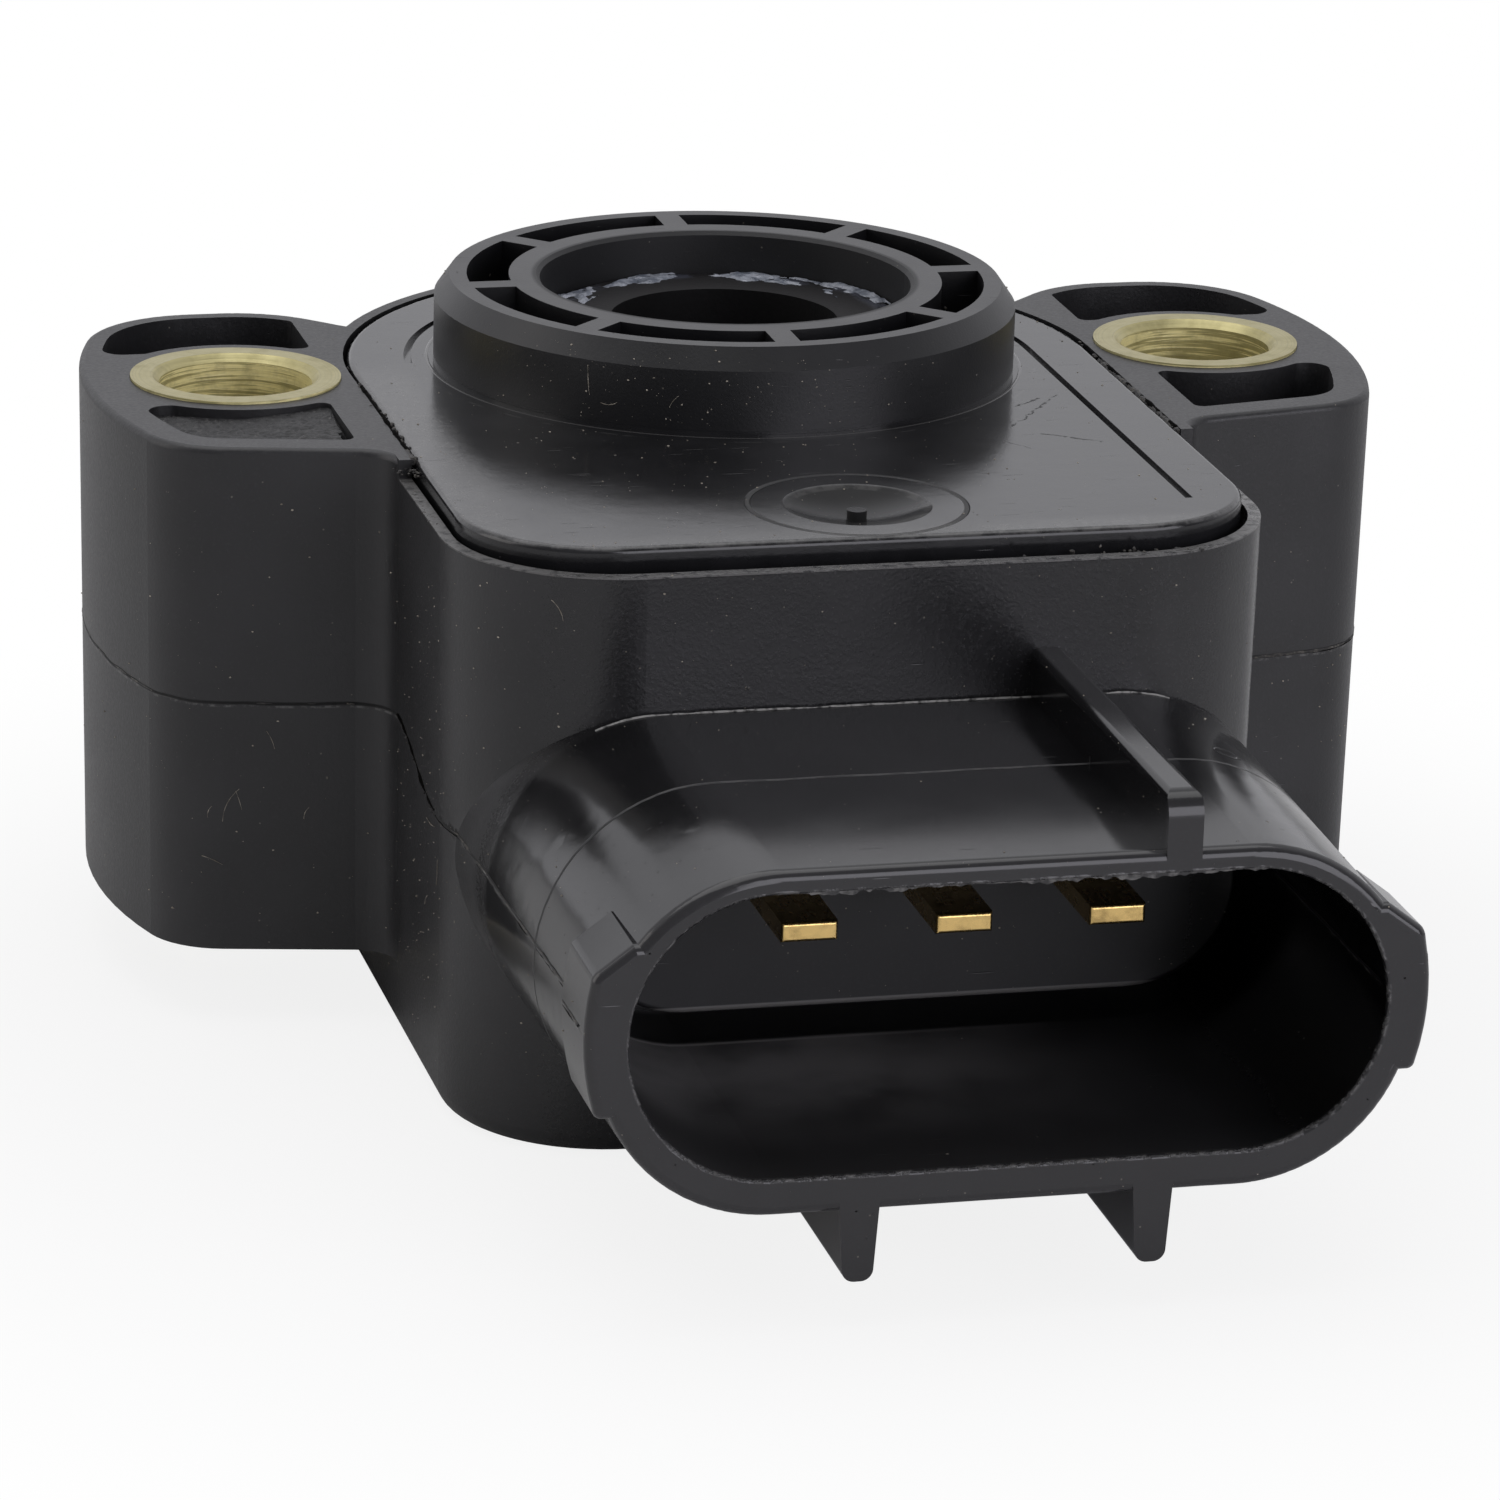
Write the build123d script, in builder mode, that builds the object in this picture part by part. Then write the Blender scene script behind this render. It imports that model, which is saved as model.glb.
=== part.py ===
"""Throttle position sensor: a moulded housing with a three-way connector, and a sprung rotor in a ribbed collar.

Millimetres, +Z up out of the mounting face. The origin is on the rotor's axis in the plane of the bolt sleeves'
faces, +X runs along the two bolt holes and the connector points along -Y.
"""

import os

from build123d import *

os.makedirs("parts", exist_ok=True)

# Bolt sleeves
hole_spacing = 40.0
bush_od = 8.4
bush_bore = 6.1
bush_chamfer = 0.3
bush_proud = 0.1
bush_fit = 0.02

# Housing: a body that is round at the back, with an ear on each side
face_z = -bush_proud
body_half = 15.9
body_front = -27.4
body_corner_r = 6.5
body_bottom = -23.6
body_draft_inset = 0.25
body_bottom_r = 0.8
rim_drop = 0.75
rim_wall = 0.6
rim_end_y = -13.0
chamber_half = 13.5
chamber_front = -24.6
chamber_corner_r = 4.0
chamber_floor = -20.0

# Mounting ears
ear_bottom = -20.6
ear_draft_inset = body_draft_inset * (face_z - ear_bottom) / (face_z - body_bottom)
ear_end_x = 26.1
ear_bow_r = 24.0
ear_bow_y = -0.5
ear_back_y = 10.25
ear_shoulder_x = 16.9
ear_flank_y = -11.6
ear_flank_rise = 1.55
ear_back_r = 5.0
ear_front_r = 3.5
ear_shoulder_r = 5.0
ear_root_r = 1.7
ear_edge_r = 0.25
ear_root_x = 12.0

# Cored pockets in the ears
pocket_boss_r = 5.0
pocket_back_wall = 0.85
pocket_front_wall = 1.45
pocket_back_x = 16.25
pocket_back_y = 4.0
pocket_front_x = 17.0
pocket_front_y = -3.9
pocket_corner_r = 0.4
pocket_end_r = 0.8
pocket_depth = 15.0
filled_pocket_depth = 0.9

# Cover and locating collar
cover_gap = 0.15
cover_half = 15.25
cover_front = -25.95
cover_corner_r = 5.4
cover_thickness = 2.0
cover_edge_r = 0.25
collar_top = 3.35
collar_r = 11.75
collar_bevel_height = 0.85
collar_bevel_width = 0.6
outer_ring_wall_r = 10.45
inner_ring_r = 8.75
collar_bore_r = 7.5
collar_bore_chamfer = 0.15
collar_pocket_floor = 0.3
rib_count = 8
rib_thickness = 1.0
neck_r = 9.0
neck_bottom = -4.5
groove_x = 12.8
groove_width = 0.3
groove_depth = 0.25
groove_front = -22.5
groove_left_angle = 175.0
gate_y = -21.55
gate_dish_r = 2.85
gate_dish_depth = 0.6
gate_pip_r = 0.38
gate_pip_height = 0.4

# Connector shroud
mouth_y = -45.0
cavity_z = -12.45
cavity_half = 13.85
cavity_half_height = 5.3
cavity_end = -27.0
cavity_edge_r = 0.15
mouth_end_wall = 1.1
mouth_side_wall = 1.12
mouth_sag = 0.28
mouth_edge_r = 0.4
shroud_root_y = -21.0
shroud_flare = 0.6
shroud_flare_height = 0.26
pedestal_end_gap = 1.2
pedestal_side_gap = 1.15
pedestal_face = -31.0
pedestal_edge_r = 0.22
top_rib_x = 6.0
top_rib_thickness = 1.3
top_rib_top = -4.25
top_rib_nose_r = 0.9
top_rib_edge_r = 0.3
bottom_rib_x = 5.4
bottom_rib_root = 1.5
bottom_rib_tip = 1.1
bottom_rib_bottom = -21.8
rib_sink = 0.45
lug_height = 0.5
lug_low_step = 0.45
lug_high_step = 0.3
lug_drop = 2.68
lug_rise = 2.65
lug_slant = 1.05
lug_slant_width = 1.4
lug_length = 3.8
lug_high_r = 0.6
lug_low_r = 0.3
lug_edge_r = 0.35

# Terminals
terminal_pitch = 5.75
terminal_width = 2.1
terminal_thickness = 0.75
terminal_z = -11.0
terminal_tip = -38.3
terminal_tip_r = 0.14
terminal_bend_r = 1.0
terminal_leg_y = -22.4
terminal_foot_end = -19.6

# Element board
board_thickness = 1.0
board_gap = 0.3
track_height = 0.08
resistor_inner_r = 9.0
resistor_outer_r = 10.9
collector_inner_r = 6.4
collector_outer_r = 8.2
track_end_angle = 60.0

# Rotor
rotor_fit = 0.06
rotor_top = 1.65
rotor_edge = 0.3
socket_r = 4.6
socket_floor = -9.5
socket_step = 0.25
socket_step_z = -3.5
tang_reach = 2.6
tang_width = 2.2
seal_wire_r = 0.5
seal_z = -2.2
seal_squeeze_room = 0.05
washer_thickness = 0.5
washer_play = 0.05
shoulder_thickness = 1.2
spindle_r = 6.0
flange_r = 11.8
flange_top = -14.0
flange_bottom = -15.6
stop_lug_r = 12.95
stop_lug_half_width = 1.7
stop_start_angle = 40.0
rotor_travel = 100.0
pivot_r = 1.5
pivot_fit = 0.05
pivot_end = -21.2
pivot_boss_r = 2.6
pivot_boss_play = 0.1
pivot_hole_end = -21.6

# Stops in the chamber
stop_inner_r = 12.15
stop_width = 2.6
stop_play = 0.15
stop_top = -13.6

# Return spring
spring_strip = 0.35
spring_inner_r = 6.4
spring_step = 0.45
spring_half_turns = 7
spring_low = -12.8
spring_high = -10.0
spring_tab_end = 5.0
spring_tab_width = 0.35
spring_tail_end = -10.9
spring_post_front = -11.6
spring_post_back = -9.8
post_sink = 1.0
spring_post_half = 0.9
spring_slot_play = 0.1

# Wiper
wiper_metal = 0.25
wiper_plate_left = -4.6
wiper_plate_right = -1.0
wiper_plate_front = -10.6
wiper_plate_back = -6.4
wiper_finger_width = 1.4
wiper_contact_x = 2.2
wiper_tip_x = 3.0
wiper_tip_lift = 0.35
wiper_track_gap = 0.06
wiper_bend_r = 0.35
stake_r = 0.45
stake_play = 0.05
stake_length = 0.55

hole_x = hole_spacing / 2
mouth_z = cavity_z - mouth_sag
mouth_half = cavity_half + mouth_end_wall
mouth_half_height = cavity_half_height + mouth_side_wall
shroud_root_half = mouth_half + shroud_flare
shroud_root_half_height = mouth_half_height + shroud_flare_height
pedestal_half = cavity_half - pedestal_end_gap
pedestal_half_height = cavity_half_height - pedestal_side_gap
lug_reach = mouth_half + lug_height
cover_bottom = face_z - cover_thickness
board_top = chamber_floor + board_thickness
rotor_hub_r = collar_bore_r - rotor_fit
shoulder_top = neck_bottom - washer_thickness - 2 * washer_play
spring_outer_r = spring_inner_r + (spring_half_turns - 1) * spring_step


def d_outline(half, front, corner):
    """Half circle at the back about the rotor's axis, straight sides and a square front with round corners."""
    with BuildSketch(mode=Mode.PRIVATE) as outline:
        Circle(half)
        with Locations((0, front / 2)):
            Rectangle(2 * half, -front)
        fillet(outline.vertices().group_by(Axis.Y)[0], corner)
    return outline.sketch


def ear_outline(inset, root_r):
    """Plan of the right ear, drawn in by the draft at a lower level."""
    back_y = ear_back_y - inset
    wall_x = body_half - inset
    flank_y = ear_flank_y + inset
    front_y = flank_y + ear_flank_rise
    bow_x = ear_end_x - ear_bow_r
    bow_r = ear_bow_r - inset
    end_back = (bow_x + (bow_r**2 - (back_y - ear_bow_y) ** 2) ** 0.5, back_y)
    end_front = (bow_x + (bow_r**2 - (front_y - ear_bow_y) ** 2) ** 0.5, front_y)
    shoulder = (ear_shoulder_x, back_y)
    root_back = (ear_root_x, back_y - (ear_shoulder_x - ear_root_x))
    root_end_y = flank_y - 2 * root_r
    with BuildSketch(mode=Mode.PRIVATE) as plan:
        with BuildLine():
            Polyline(root_back, shoulder, end_back)
            ThreePointArc(end_back, (bow_x + bow_r, ear_bow_y), end_front)
            Polyline(
                end_front,
                (wall_x, flank_y),
                (wall_x, root_end_y),
                (ear_root_x, root_end_y),
                root_back,
            )
        make_face()
        fillet(plan.vertices().sort_by_distance((wall_x, flank_y))[0], root_r)
        fillet(plan.vertices().sort_by_distance(shoulder)[0], ear_shoulder_r)
        fillet(plan.vertices().sort_by_distance(end_back)[0], ear_back_r - inset)
        fillet(plan.vertices().sort_by_distance(end_front)[0], ear_front_r - inset)
    return plan.sketch


def pocket_outline(wall, near_x, near_y):
    """Kidney between the ear's wall and the boss round the right bolt hole."""
    side = 1 if near_y > 0 else -1
    reach = 2 * ear_end_x
    with BuildSketch(mode=Mode.PRIVATE) as plan:
        add(ear_outline(0, pocket_corner_r))
        offset(amount=-wall, mode=Mode.REPLACE)
        with Locations((near_x + reach / 2, near_y + side * reach / 2)):
            Rectangle(reach, reach, mode=Mode.INTERSECT)
        with Locations((hole_x, 0)):
            Circle(pocket_boss_r, mode=Mode.SUBTRACT)
        ends = [v for v in plan.vertices() if min(abs(v.X - near_x), abs(v.Y - near_y)) < 0.001]
        far_end = max(ends, key=lambda v: v.X)
        fillet([v for v in ends if v is not far_end], pocket_corner_r)
        fillet(plan.vertices().sort_by_distance((far_end.X, far_end.Y))[0], pocket_end_r)
    return plan.sketch


with BuildPart() as left_bush:
    with BuildSketch(Plane.XZ):
        bush_low = ear_bottom - bush_proud
        with BuildLine():
            Polyline(
                (bush_bore / 2, bush_low + bush_chamfer),
                (bush_bore / 2 + bush_chamfer, bush_low),
                (bush_od / 2, bush_low),
                (bush_od / 2, 0),
                (bush_bore / 2 + bush_chamfer, 0),
                (bush_bore / 2, -bush_chamfer),
                close=True,
            )
        make_face()
    revolve(axis=Axis.Z)

right_bush = left_bush.part.moved(Location((hole_x, 0, 0)))
left_bush_part = left_bush.part.moved(Location((-hole_x, 0, 0)))

with BuildPart() as housing:
    # Right ear with its rear pocket, then its mirror image
    with BuildSketch(Plane.XY.offset(ear_bottom)):
        add(ear_outline(ear_draft_inset, ear_root_r))
    with BuildSketch(Plane.XY.offset(face_z)):
        add(ear_outline(0, ear_root_r))
    loft(ruled=True)
    fillet(housing.edges().group_by(Axis.Z)[-1], ear_edge_r)
    with BuildSketch(Plane.XY.offset(face_z)):
        add(pocket_outline(pocket_back_wall, pocket_back_x, pocket_back_y))
    extrude(amount=-pocket_depth, mode=Mode.SUBTRACT)
    mirror(about=Plane.YZ)
    # Front pockets: open in the right ear, filled almost to the face in the left one
    with BuildSketch(Plane.XY.offset(face_z)):
        add(pocket_outline(pocket_front_wall, pocket_front_x, pocket_front_y))
    extrude(amount=-pocket_depth, mode=Mode.SUBTRACT)
    with BuildSketch(Plane.XY.offset(face_z)):
        mirror(pocket_outline(pocket_front_wall, pocket_front_x, pocket_front_y), about=Plane.YZ)
    extrude(amount=-filled_pocket_depth, mode=Mode.SUBTRACT)

    # Body, a little smaller at the bottom
    with BuildSketch(Plane.XY.offset(body_bottom)):
        add(
            d_outline(
                body_half - body_draft_inset,
                body_front + body_draft_inset,
                body_corner_r - body_draft_inset,
            )
        )
    with BuildSketch(Plane.XY.offset(face_z)):
        add(d_outline(body_half, body_front, body_corner_r))
    loft(ruled=True)
    fillet(housing.edges().group_by(Axis.Z)[0], body_bottom_r)
    with Locations((hole_x, 0, face_z), (-hole_x, 0, face_z)):
        Hole(bush_od / 2 + bush_fit)

    # Connector shroud
    with BuildSketch(Plane.XZ.offset(-shroud_root_y)):
        with Locations((0, mouth_z)):
            SlotOverall(2 * shroud_root_half, 2 * shroud_root_half_height)
    with BuildSketch(Plane.XZ.offset(-mouth_y)):
        with Locations((0, mouth_z)):
            SlotOverall(2 * mouth_half, 2 * mouth_half_height)
    loft(ruled=True)
    fillet(housing.edges().group_by(Axis.Y)[0], mouth_edge_r)

    # Key ribs above and below the shroud, latch lugs at its ends
    shroud_top = mouth_z + mouth_half_height
    shroud_bottom = mouth_z - mouth_half_height
    rib_length = body_front - mouth_y + rib_sink
    top_rib_height = top_rib_top - shroud_top + rib_sink
    with BuildPart(mode=Mode.PRIVATE) as top_rib:
        with BuildSketch(Plane.YZ.offset(top_rib_x - top_rib_thickness)) as side:
            with Locations((mouth_y, shroud_top - rib_sink)):
                Rectangle(rib_length, top_rib_height, align=Align.MIN)
            fillet(side.vertices().sort_by_distance((mouth_y, top_rib_top))[0], top_rib_nose_r)
        extrude(amount=2 * top_rib_thickness)
        with BuildSketch(Plane.XZ.offset(-mouth_y)) as end:
            with Locations((top_rib_x, shroud_top - rib_sink)):
                Rectangle(top_rib_thickness, top_rib_height, align=(Align.CENTER, Align.MIN))
            fillet(end.vertices().group_by(Axis.Y)[-1], top_rib_edge_r)
        extrude(amount=-rib_length, mode=Mode.INTERSECT)
    add(top_rib.part)
    with BuildSketch(Plane.XZ.offset(-mouth_y)):
        with Locations((-bottom_rib_x, 0), (bottom_rib_x, 0)):
            Polygon(
                (-bottom_rib_root / 2, shroud_bottom + rib_sink),
                (-bottom_rib_tip / 2, bottom_rib_bottom),
                (bottom_rib_tip / 2, bottom_rib_bottom),
                (bottom_rib_root / 2, shroud_bottom + rib_sink),
                align=None,
            )
    extrude(amount=-rib_length)
    tips = housing.edges().filter_by(Axis.Y).filter_by_position(
        Axis.Z, bottom_rib_bottom - 0.01, bottom_rib_bottom + 0.01
    )
    fillet(tips, bottom_rib_tip * 0.42)
    lug_low = (lug_reach - lug_low_step, cavity_z - lug_drop)
    lug_high = (lug_reach - lug_high_step, cavity_z + lug_rise)
    lug_top = lug_high[1] + lug_slant
    with BuildPart(mode=Mode.PRIVATE) as lug:
        with BuildSketch(Plane.XZ.offset(-mouth_y)) as outline:
            with BuildLine():
                Line((pedestal_half, lug_low[1]), lug_low)
                ThreePointArc(lug_low, (lug_reach, cavity_z), lug_high)
                Polyline(
                    lug_high,
                    (lug_high[0] - lug_slant_width, lug_top),
                    (pedestal_half, lug_top),
                    (pedestal_half, lug_low[1]),
                )
            make_face()
            fillet(outline.vertices().sort_by_distance(lug_high)[0], lug_high_r)
            fillet(outline.vertices().sort_by_distance(lug_low)[0], lug_low_r)
        extrude(amount=-lug_length)
        fillet(lug.faces().sort_by(Axis.Y)[0].edges(), lug_edge_r)
    add(lug.part)
    mirror(lug.part, about=Plane.YZ)

    # Socket of the connector, with a pedestal round the terminals
    with BuildSketch(Plane.XZ.offset(-mouth_y)):
        with Locations((0, cavity_z)):
            SlotOverall(2 * cavity_half, 2 * cavity_half_height)
    extrude(amount=mouth_y - pedestal_face, mode=Mode.SUBTRACT)
    with BuildSketch(Plane.XZ.offset(-pedestal_face)):
        with Locations((0, cavity_z)):
            SlotOverall(2 * cavity_half, 2 * cavity_half_height)
            SlotOverall(2 * pedestal_half, 2 * pedestal_half_height, mode=Mode.SUBTRACT)
    extrude(amount=pedestal_face - cavity_end, mode=Mode.SUBTRACT)
    pedestal_edges = (
        housing.edges()
        .filter_by_position(Axis.Y, pedestal_face - 0.01, pedestal_face + 0.01)
        .filter_by_position(Axis.X, -pedestal_half, pedestal_half)
    )
    fillet(pedestal_edges, pedestal_edge_r)
    mouth_face = housing.faces().sort_by(Axis.Y)[0]
    fillet(mouth_face.inner_wires()[0].edges(), cavity_edge_r)

    # Seat of the cover, the thin rim that is lower in front of the ears, and the chamber
    with BuildSketch(Plane.XY.offset(cover_bottom)):
        add(d_outline(cover_half + cover_gap, body_front + rim_wall, body_corner_r - rim_wall))
    extrude(amount=2 * cover_thickness, mode=Mode.SUBTRACT)
    with BuildSketch(Plane.XZ.offset(-rim_end_y)):
        with Locations((0, face_z - rim_drop)):
            Rectangle(4 * body_half, 2 * rim_drop, align=(Align.CENTER, Align.MIN))
    extrude(amount=rim_end_y - 2 * body_front, mode=Mode.SUBTRACT)
    with BuildSketch(Plane.XY.offset(cover_bottom)):
        add(d_outline(chamber_half, chamber_front, chamber_corner_r))
    extrude(amount=chamber_floor - cover_bottom, mode=Mode.SUBTRACT)

    # Pivot boss, stops at both ends of the rotor's travel, post for the spring's tail
    boss_top = flange_bottom - pivot_boss_play
    with Locations((0, 0, body_bottom / 2 + chamber_floor / 2)):
        Cylinder(
            pivot_boss_r,
            boss_top - body_bottom / 2 - chamber_floor / 2,
            align=(Align.CENTER, Align.CENTER, Align.MIN),
        )
    with Locations((0, 0, pivot_hole_end)):
        Cylinder(
            pivot_r + pivot_fit,
            boss_top - pivot_hole_end,
            align=(Align.CENTER, Align.CENTER, Align.MIN),
            mode=Mode.SUBTRACT,
        )
    for turn, side in ((stop_start_angle, -1), (stop_start_angle + rotor_travel, 1)):
        with Locations(Location((0, 0, chamber_floor), (0, 0, turn))):
            with Locations((stop_inner_r, side * (stop_lug_half_width + stop_play + stop_width / 2), 0)):
                Box(
                    chamber_half + post_sink - stop_inner_r,
                    stop_width,
                    stop_top - chamber_floor,
                    align=(Align.MIN, Align.CENTER, Align.MIN),
                )
    with Locations((-chamber_half - post_sink, spring_post_front, chamber_floor)):
        Box(
            chamber_half + post_sink - spring_outer_r + spring_post_half,
            spring_post_back - spring_post_front,
            spring_high - chamber_floor + 0.4,
            align=Align.MIN,
        )
    with Locations((-spring_outer_r, spring_post_back + post_sink, spring_low - spring_slot_play)):
        Box(
            spring_strip + 2 * spring_slot_play,
            spring_post_back + post_sink - spring_tail_end + spring_slot_play,
            2 * (spring_high - spring_low),
            align=(Align.CENTER, Align.MAX, Align.MIN),
            mode=Mode.SUBTRACT,
        )

    # Slots for the terminals
    with Locations(*[(n * terminal_pitch, pedestal_face, terminal_z) for n in (-1, 0, 1)]):
        Box(
            terminal_width,
            chamber_front - pedestal_face,
            terminal_thickness,
            align=(Align.CENTER, Align.MIN, Align.CENTER),
            mode=Mode.SUBTRACT,
        )

with BuildPart() as cover:
    with BuildSketch(Plane.XY.offset(cover_bottom)):
        add(d_outline(cover_half, cover_front, cover_corner_r))
    extrude(amount=cover_thickness)
    fillet(cover.edges().group_by(Axis.Z)[-1], cover_edge_r)
    # Grooves in the plate: one beside the right edge that runs on round the back
    with BuildSketch(Plane.XY.offset(face_z)):
        with BuildLine() as groove:
            side = Line((groove_x, groove_front), (groove_x, 0))
            CenterArc((0, 0), groove_x, 0, groove_left_angle)
        trace(line_width=groove_width)
    extrude(amount=-groove_depth, mode=Mode.SUBTRACT)
    # Gate mark: a dish with a pip
    dish_ball_r = (gate_dish_r**2 + gate_dish_depth**2) / (2 * gate_dish_depth)
    with Locations((0, gate_y, face_z - gate_dish_depth + dish_ball_r)):
        Sphere(dish_ball_r, mode=Mode.SUBTRACT)
    with Locations((0, gate_y, face_z - gate_dish_depth - 0.1)):
        Cylinder(gate_pip_r, gate_pip_height + 0.1, align=(Align.CENTER, Align.CENTER, Align.MIN))
    # Collar: two rings and the neck that the rotor turns in
    with BuildSketch(Plane.XZ):
        with BuildLine():
            Polyline(
                (collar_bore_r, collar_top - collar_bore_chamfer),
                (collar_bore_r + collar_bore_chamfer, collar_top),
                (inner_ring_r, collar_top),
                (inner_ring_r, collar_pocket_floor),
                (outer_ring_wall_r, collar_pocket_floor),
                (outer_ring_wall_r, collar_top),
                (collar_r - collar_bevel_width, collar_top),
                (collar_r, collar_top - collar_bevel_height),
                (collar_r, cover_bottom / 2),
                (neck_r, cover_bottom / 2),
                (neck_r, neck_bottom),
                (collar_bore_r, neck_bottom),
                close=True,
            )
        make_face()
    revolve(axis=Axis.Z)
    rib_span = outer_ring_wall_r - inner_ring_r
    with PolarLocations((outer_ring_wall_r + inner_ring_r) / 2, rib_count):
        with Locations((0, 0, 0)):
            Box(
                rib_span + 0.4,
                rib_thickness,
                collar_top,
                align=(Align.CENTER, Align.CENTER, Align.MIN),
            )
    with Locations((0, 0, cover_bottom)):
        Cylinder(
            collar_bore_r,
            cover_thickness + 1,
            align=(Align.CENTER, Align.CENTER, Align.MIN),
            mode=Mode.SUBTRACT,
        )

with BuildPart() as signal_terminal:
    with BuildSketch(Plane.YZ):
        with BuildLine():
            foot_z = board_top + terminal_thickness / 2
            FilletPolyline(
                (terminal_tip, terminal_z),
                (terminal_leg_y, terminal_z),
                (terminal_leg_y, foot_z),
                (terminal_foot_end, foot_z),
                radius=terminal_bend_r,
            )
        trace(line_width=terminal_thickness)
    extrude(amount=terminal_width / 2, both=True)
    fillet(signal_terminal.faces().sort_by(Axis.Y)[0].edges(), terminal_tip_r)

ground_terminal = signal_terminal.part.moved(Location((-terminal_pitch, 0, 0)))
supply_terminal = signal_terminal.part.moved(Location((terminal_pitch, 0, 0)))

with BuildPart() as element_board:
    with BuildSketch(Plane.XY.offset(chamber_floor)):
        add(d_outline(chamber_half - board_gap, chamber_front + board_gap, chamber_corner_r))
        Circle(pivot_boss_r + board_gap, mode=Mode.SUBTRACT)
        for turn, side in ((stop_start_angle, -1), (stop_start_angle + rotor_travel, 1)):
            with Locations(Location((0, 0, 0), (0, 0, turn))):
                with Locations((stop_inner_r - board_gap, side * (stop_lug_half_width + stop_play + stop_width / 2))):
                    Rectangle(
                        chamber_half,
                        stop_width + 2 * board_gap,
                        align=(Align.MIN, Align.CENTER),
                        mode=Mode.SUBTRACT,
                    )
        with Locations((-spring_outer_r + spring_post_half + board_gap, spring_post_front - board_gap)):
            Rectangle(
                chamber_half,
                spring_post_back - spring_post_front + 2 * board_gap,
                align=(Align.MAX, Align.MIN),
                mode=Mode.SUBTRACT,
            )
    extrude(amount=board_thickness)
    with BuildSketch(Plane.XY.offset(board_top)):
        for low_r, high_r in ((resistor_inner_r, resistor_outer_r), (collector_inner_r, collector_outer_r)):
            with BuildLine():
                CenterArc((0, 0), (low_r + high_r) / 2, 180 + track_end_angle, 360 - 2 * track_end_angle)
            trace(line_width=high_r - low_r)
    extrude(amount=track_height)

with BuildPart() as rotor:
    with BuildSketch(Plane.XZ):
        groove_half = seal_wire_r + seal_squeeze_room
        groove_r = rotor_hub_r - 2 * seal_wire_r - seal_squeeze_room
        with BuildLine():
            Polyline(
                (socket_r, rotor_top),
                (rotor_hub_r - rotor_edge, rotor_top),
                (rotor_hub_r, rotor_top - rotor_edge),
                (rotor_hub_r, seal_z + groove_half),
                (groove_r, seal_z + groove_half),
                (groove_r, seal_z - groove_half),
                (rotor_hub_r, seal_z - groove_half),
                (rotor_hub_r, shoulder_top),
                (neck_r, shoulder_top),
                (neck_r, shoulder_top - shoulder_thickness),
                (spindle_r, shoulder_top - shoulder_thickness),
                (spindle_r, flange_top),
                (flange_r, flange_top),
                (flange_r, flange_bottom),
                (pivot_r, flange_bottom),
                (pivot_r, pivot_end),
                (0, pivot_end),
                (0, socket_floor),
                (socket_r - socket_step, socket_floor),
                (socket_r - socket_step, socket_step_z),
                (socket_r, socket_step_z),
                close=True,
            )
        make_face()
    revolve(axis=Axis.Z)
    # Two tangs that the throttle shaft's blade drives
    with PolarLocations(tang_reach, 2, start_angle=90):
        with Locations((0, 0, socket_floor - 0.2)):
            Box(
                socket_r + 0.3 - tang_reach,
                tang_width,
                socket_step_z - socket_floor + 0.2,
                align=(Align.MIN, Align.CENTER, Align.MIN),
            )
    # Stop lug on the flange and the slot for the spring's inner end
    with Locations(Location((0, 0, flange_bottom), (0, 0, stop_start_angle))):
        with Locations((flange_r - 1, 0, 0)):
            Box(
                stop_lug_r - flange_r + 1,
                2 * stop_lug_half_width,
                flange_top - flange_bottom,
                align=(Align.MIN, Align.CENTER, Align.MIN),
            )
    with Locations((spring_tab_end - spring_slot_play, -spring_tab_width / 2, spring_low - spring_slot_play)):
        Box(
            spindle_r,
            spring_tab_width + 2 * spring_slot_play,
            spring_high - spring_low + 2 * spring_slot_play,
            align=(Align.MIN, Align.CENTER, Align.MIN),
            mode=Mode.SUBTRACT,
        )
    # Studs that hold the wiper
    stake_x = (wiper_plate_left + wiper_plate_right) / 2
    with Locations((stake_x, wiper_plate_front + 1.0, flange_bottom), (stake_x, wiper_plate_back - 1.0, flange_bottom)):
        Cylinder(stake_r, 2 * stake_length)

with BuildPart() as wiper:
    with BuildSketch(Plane.XY.offset(flange_bottom)) as plate:
        with Locations((wiper_plate_left, wiper_plate_front)):
            Rectangle(wiper_plate_right - wiper_plate_left, wiper_plate_back - wiper_plate_front, align=Align.MIN)
        fillet(plate.vertices(), 0.4)
        with Locations((stake_x, wiper_plate_front + 1.0), (stake_x, wiper_plate_back - 1.0)):
            Circle(stake_r + stake_play, mode=Mode.SUBTRACT)
    extrude(amount=-wiper_metal)
    # Fingers that bend down to the two tracks
    finger_root_z = flange_bottom - wiper_metal / 2
    contact_z = board_top + track_height + wiper_track_gap + wiper_metal / 2
    for finger_y in (wiper_plate_front + wiper_finger_width / 2, wiper_plate_back - wiper_finger_width / 2):
        with BuildSketch(Plane.XZ.offset(-finger_y)):
            with BuildLine():
                FilletPolyline(
                    (wiper_plate_right - 0.6, finger_root_z),
                    (wiper_plate_right + 0.9, finger_root_z),
                    (wiper_contact_x, contact_z),
                    (wiper_tip_x, contact_z + wiper_tip_lift),
                    radius=wiper_bend_r,
                )
            trace(line_width=wiper_metal)
        extrude(amount=wiper_finger_width / 2, both=True)

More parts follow.
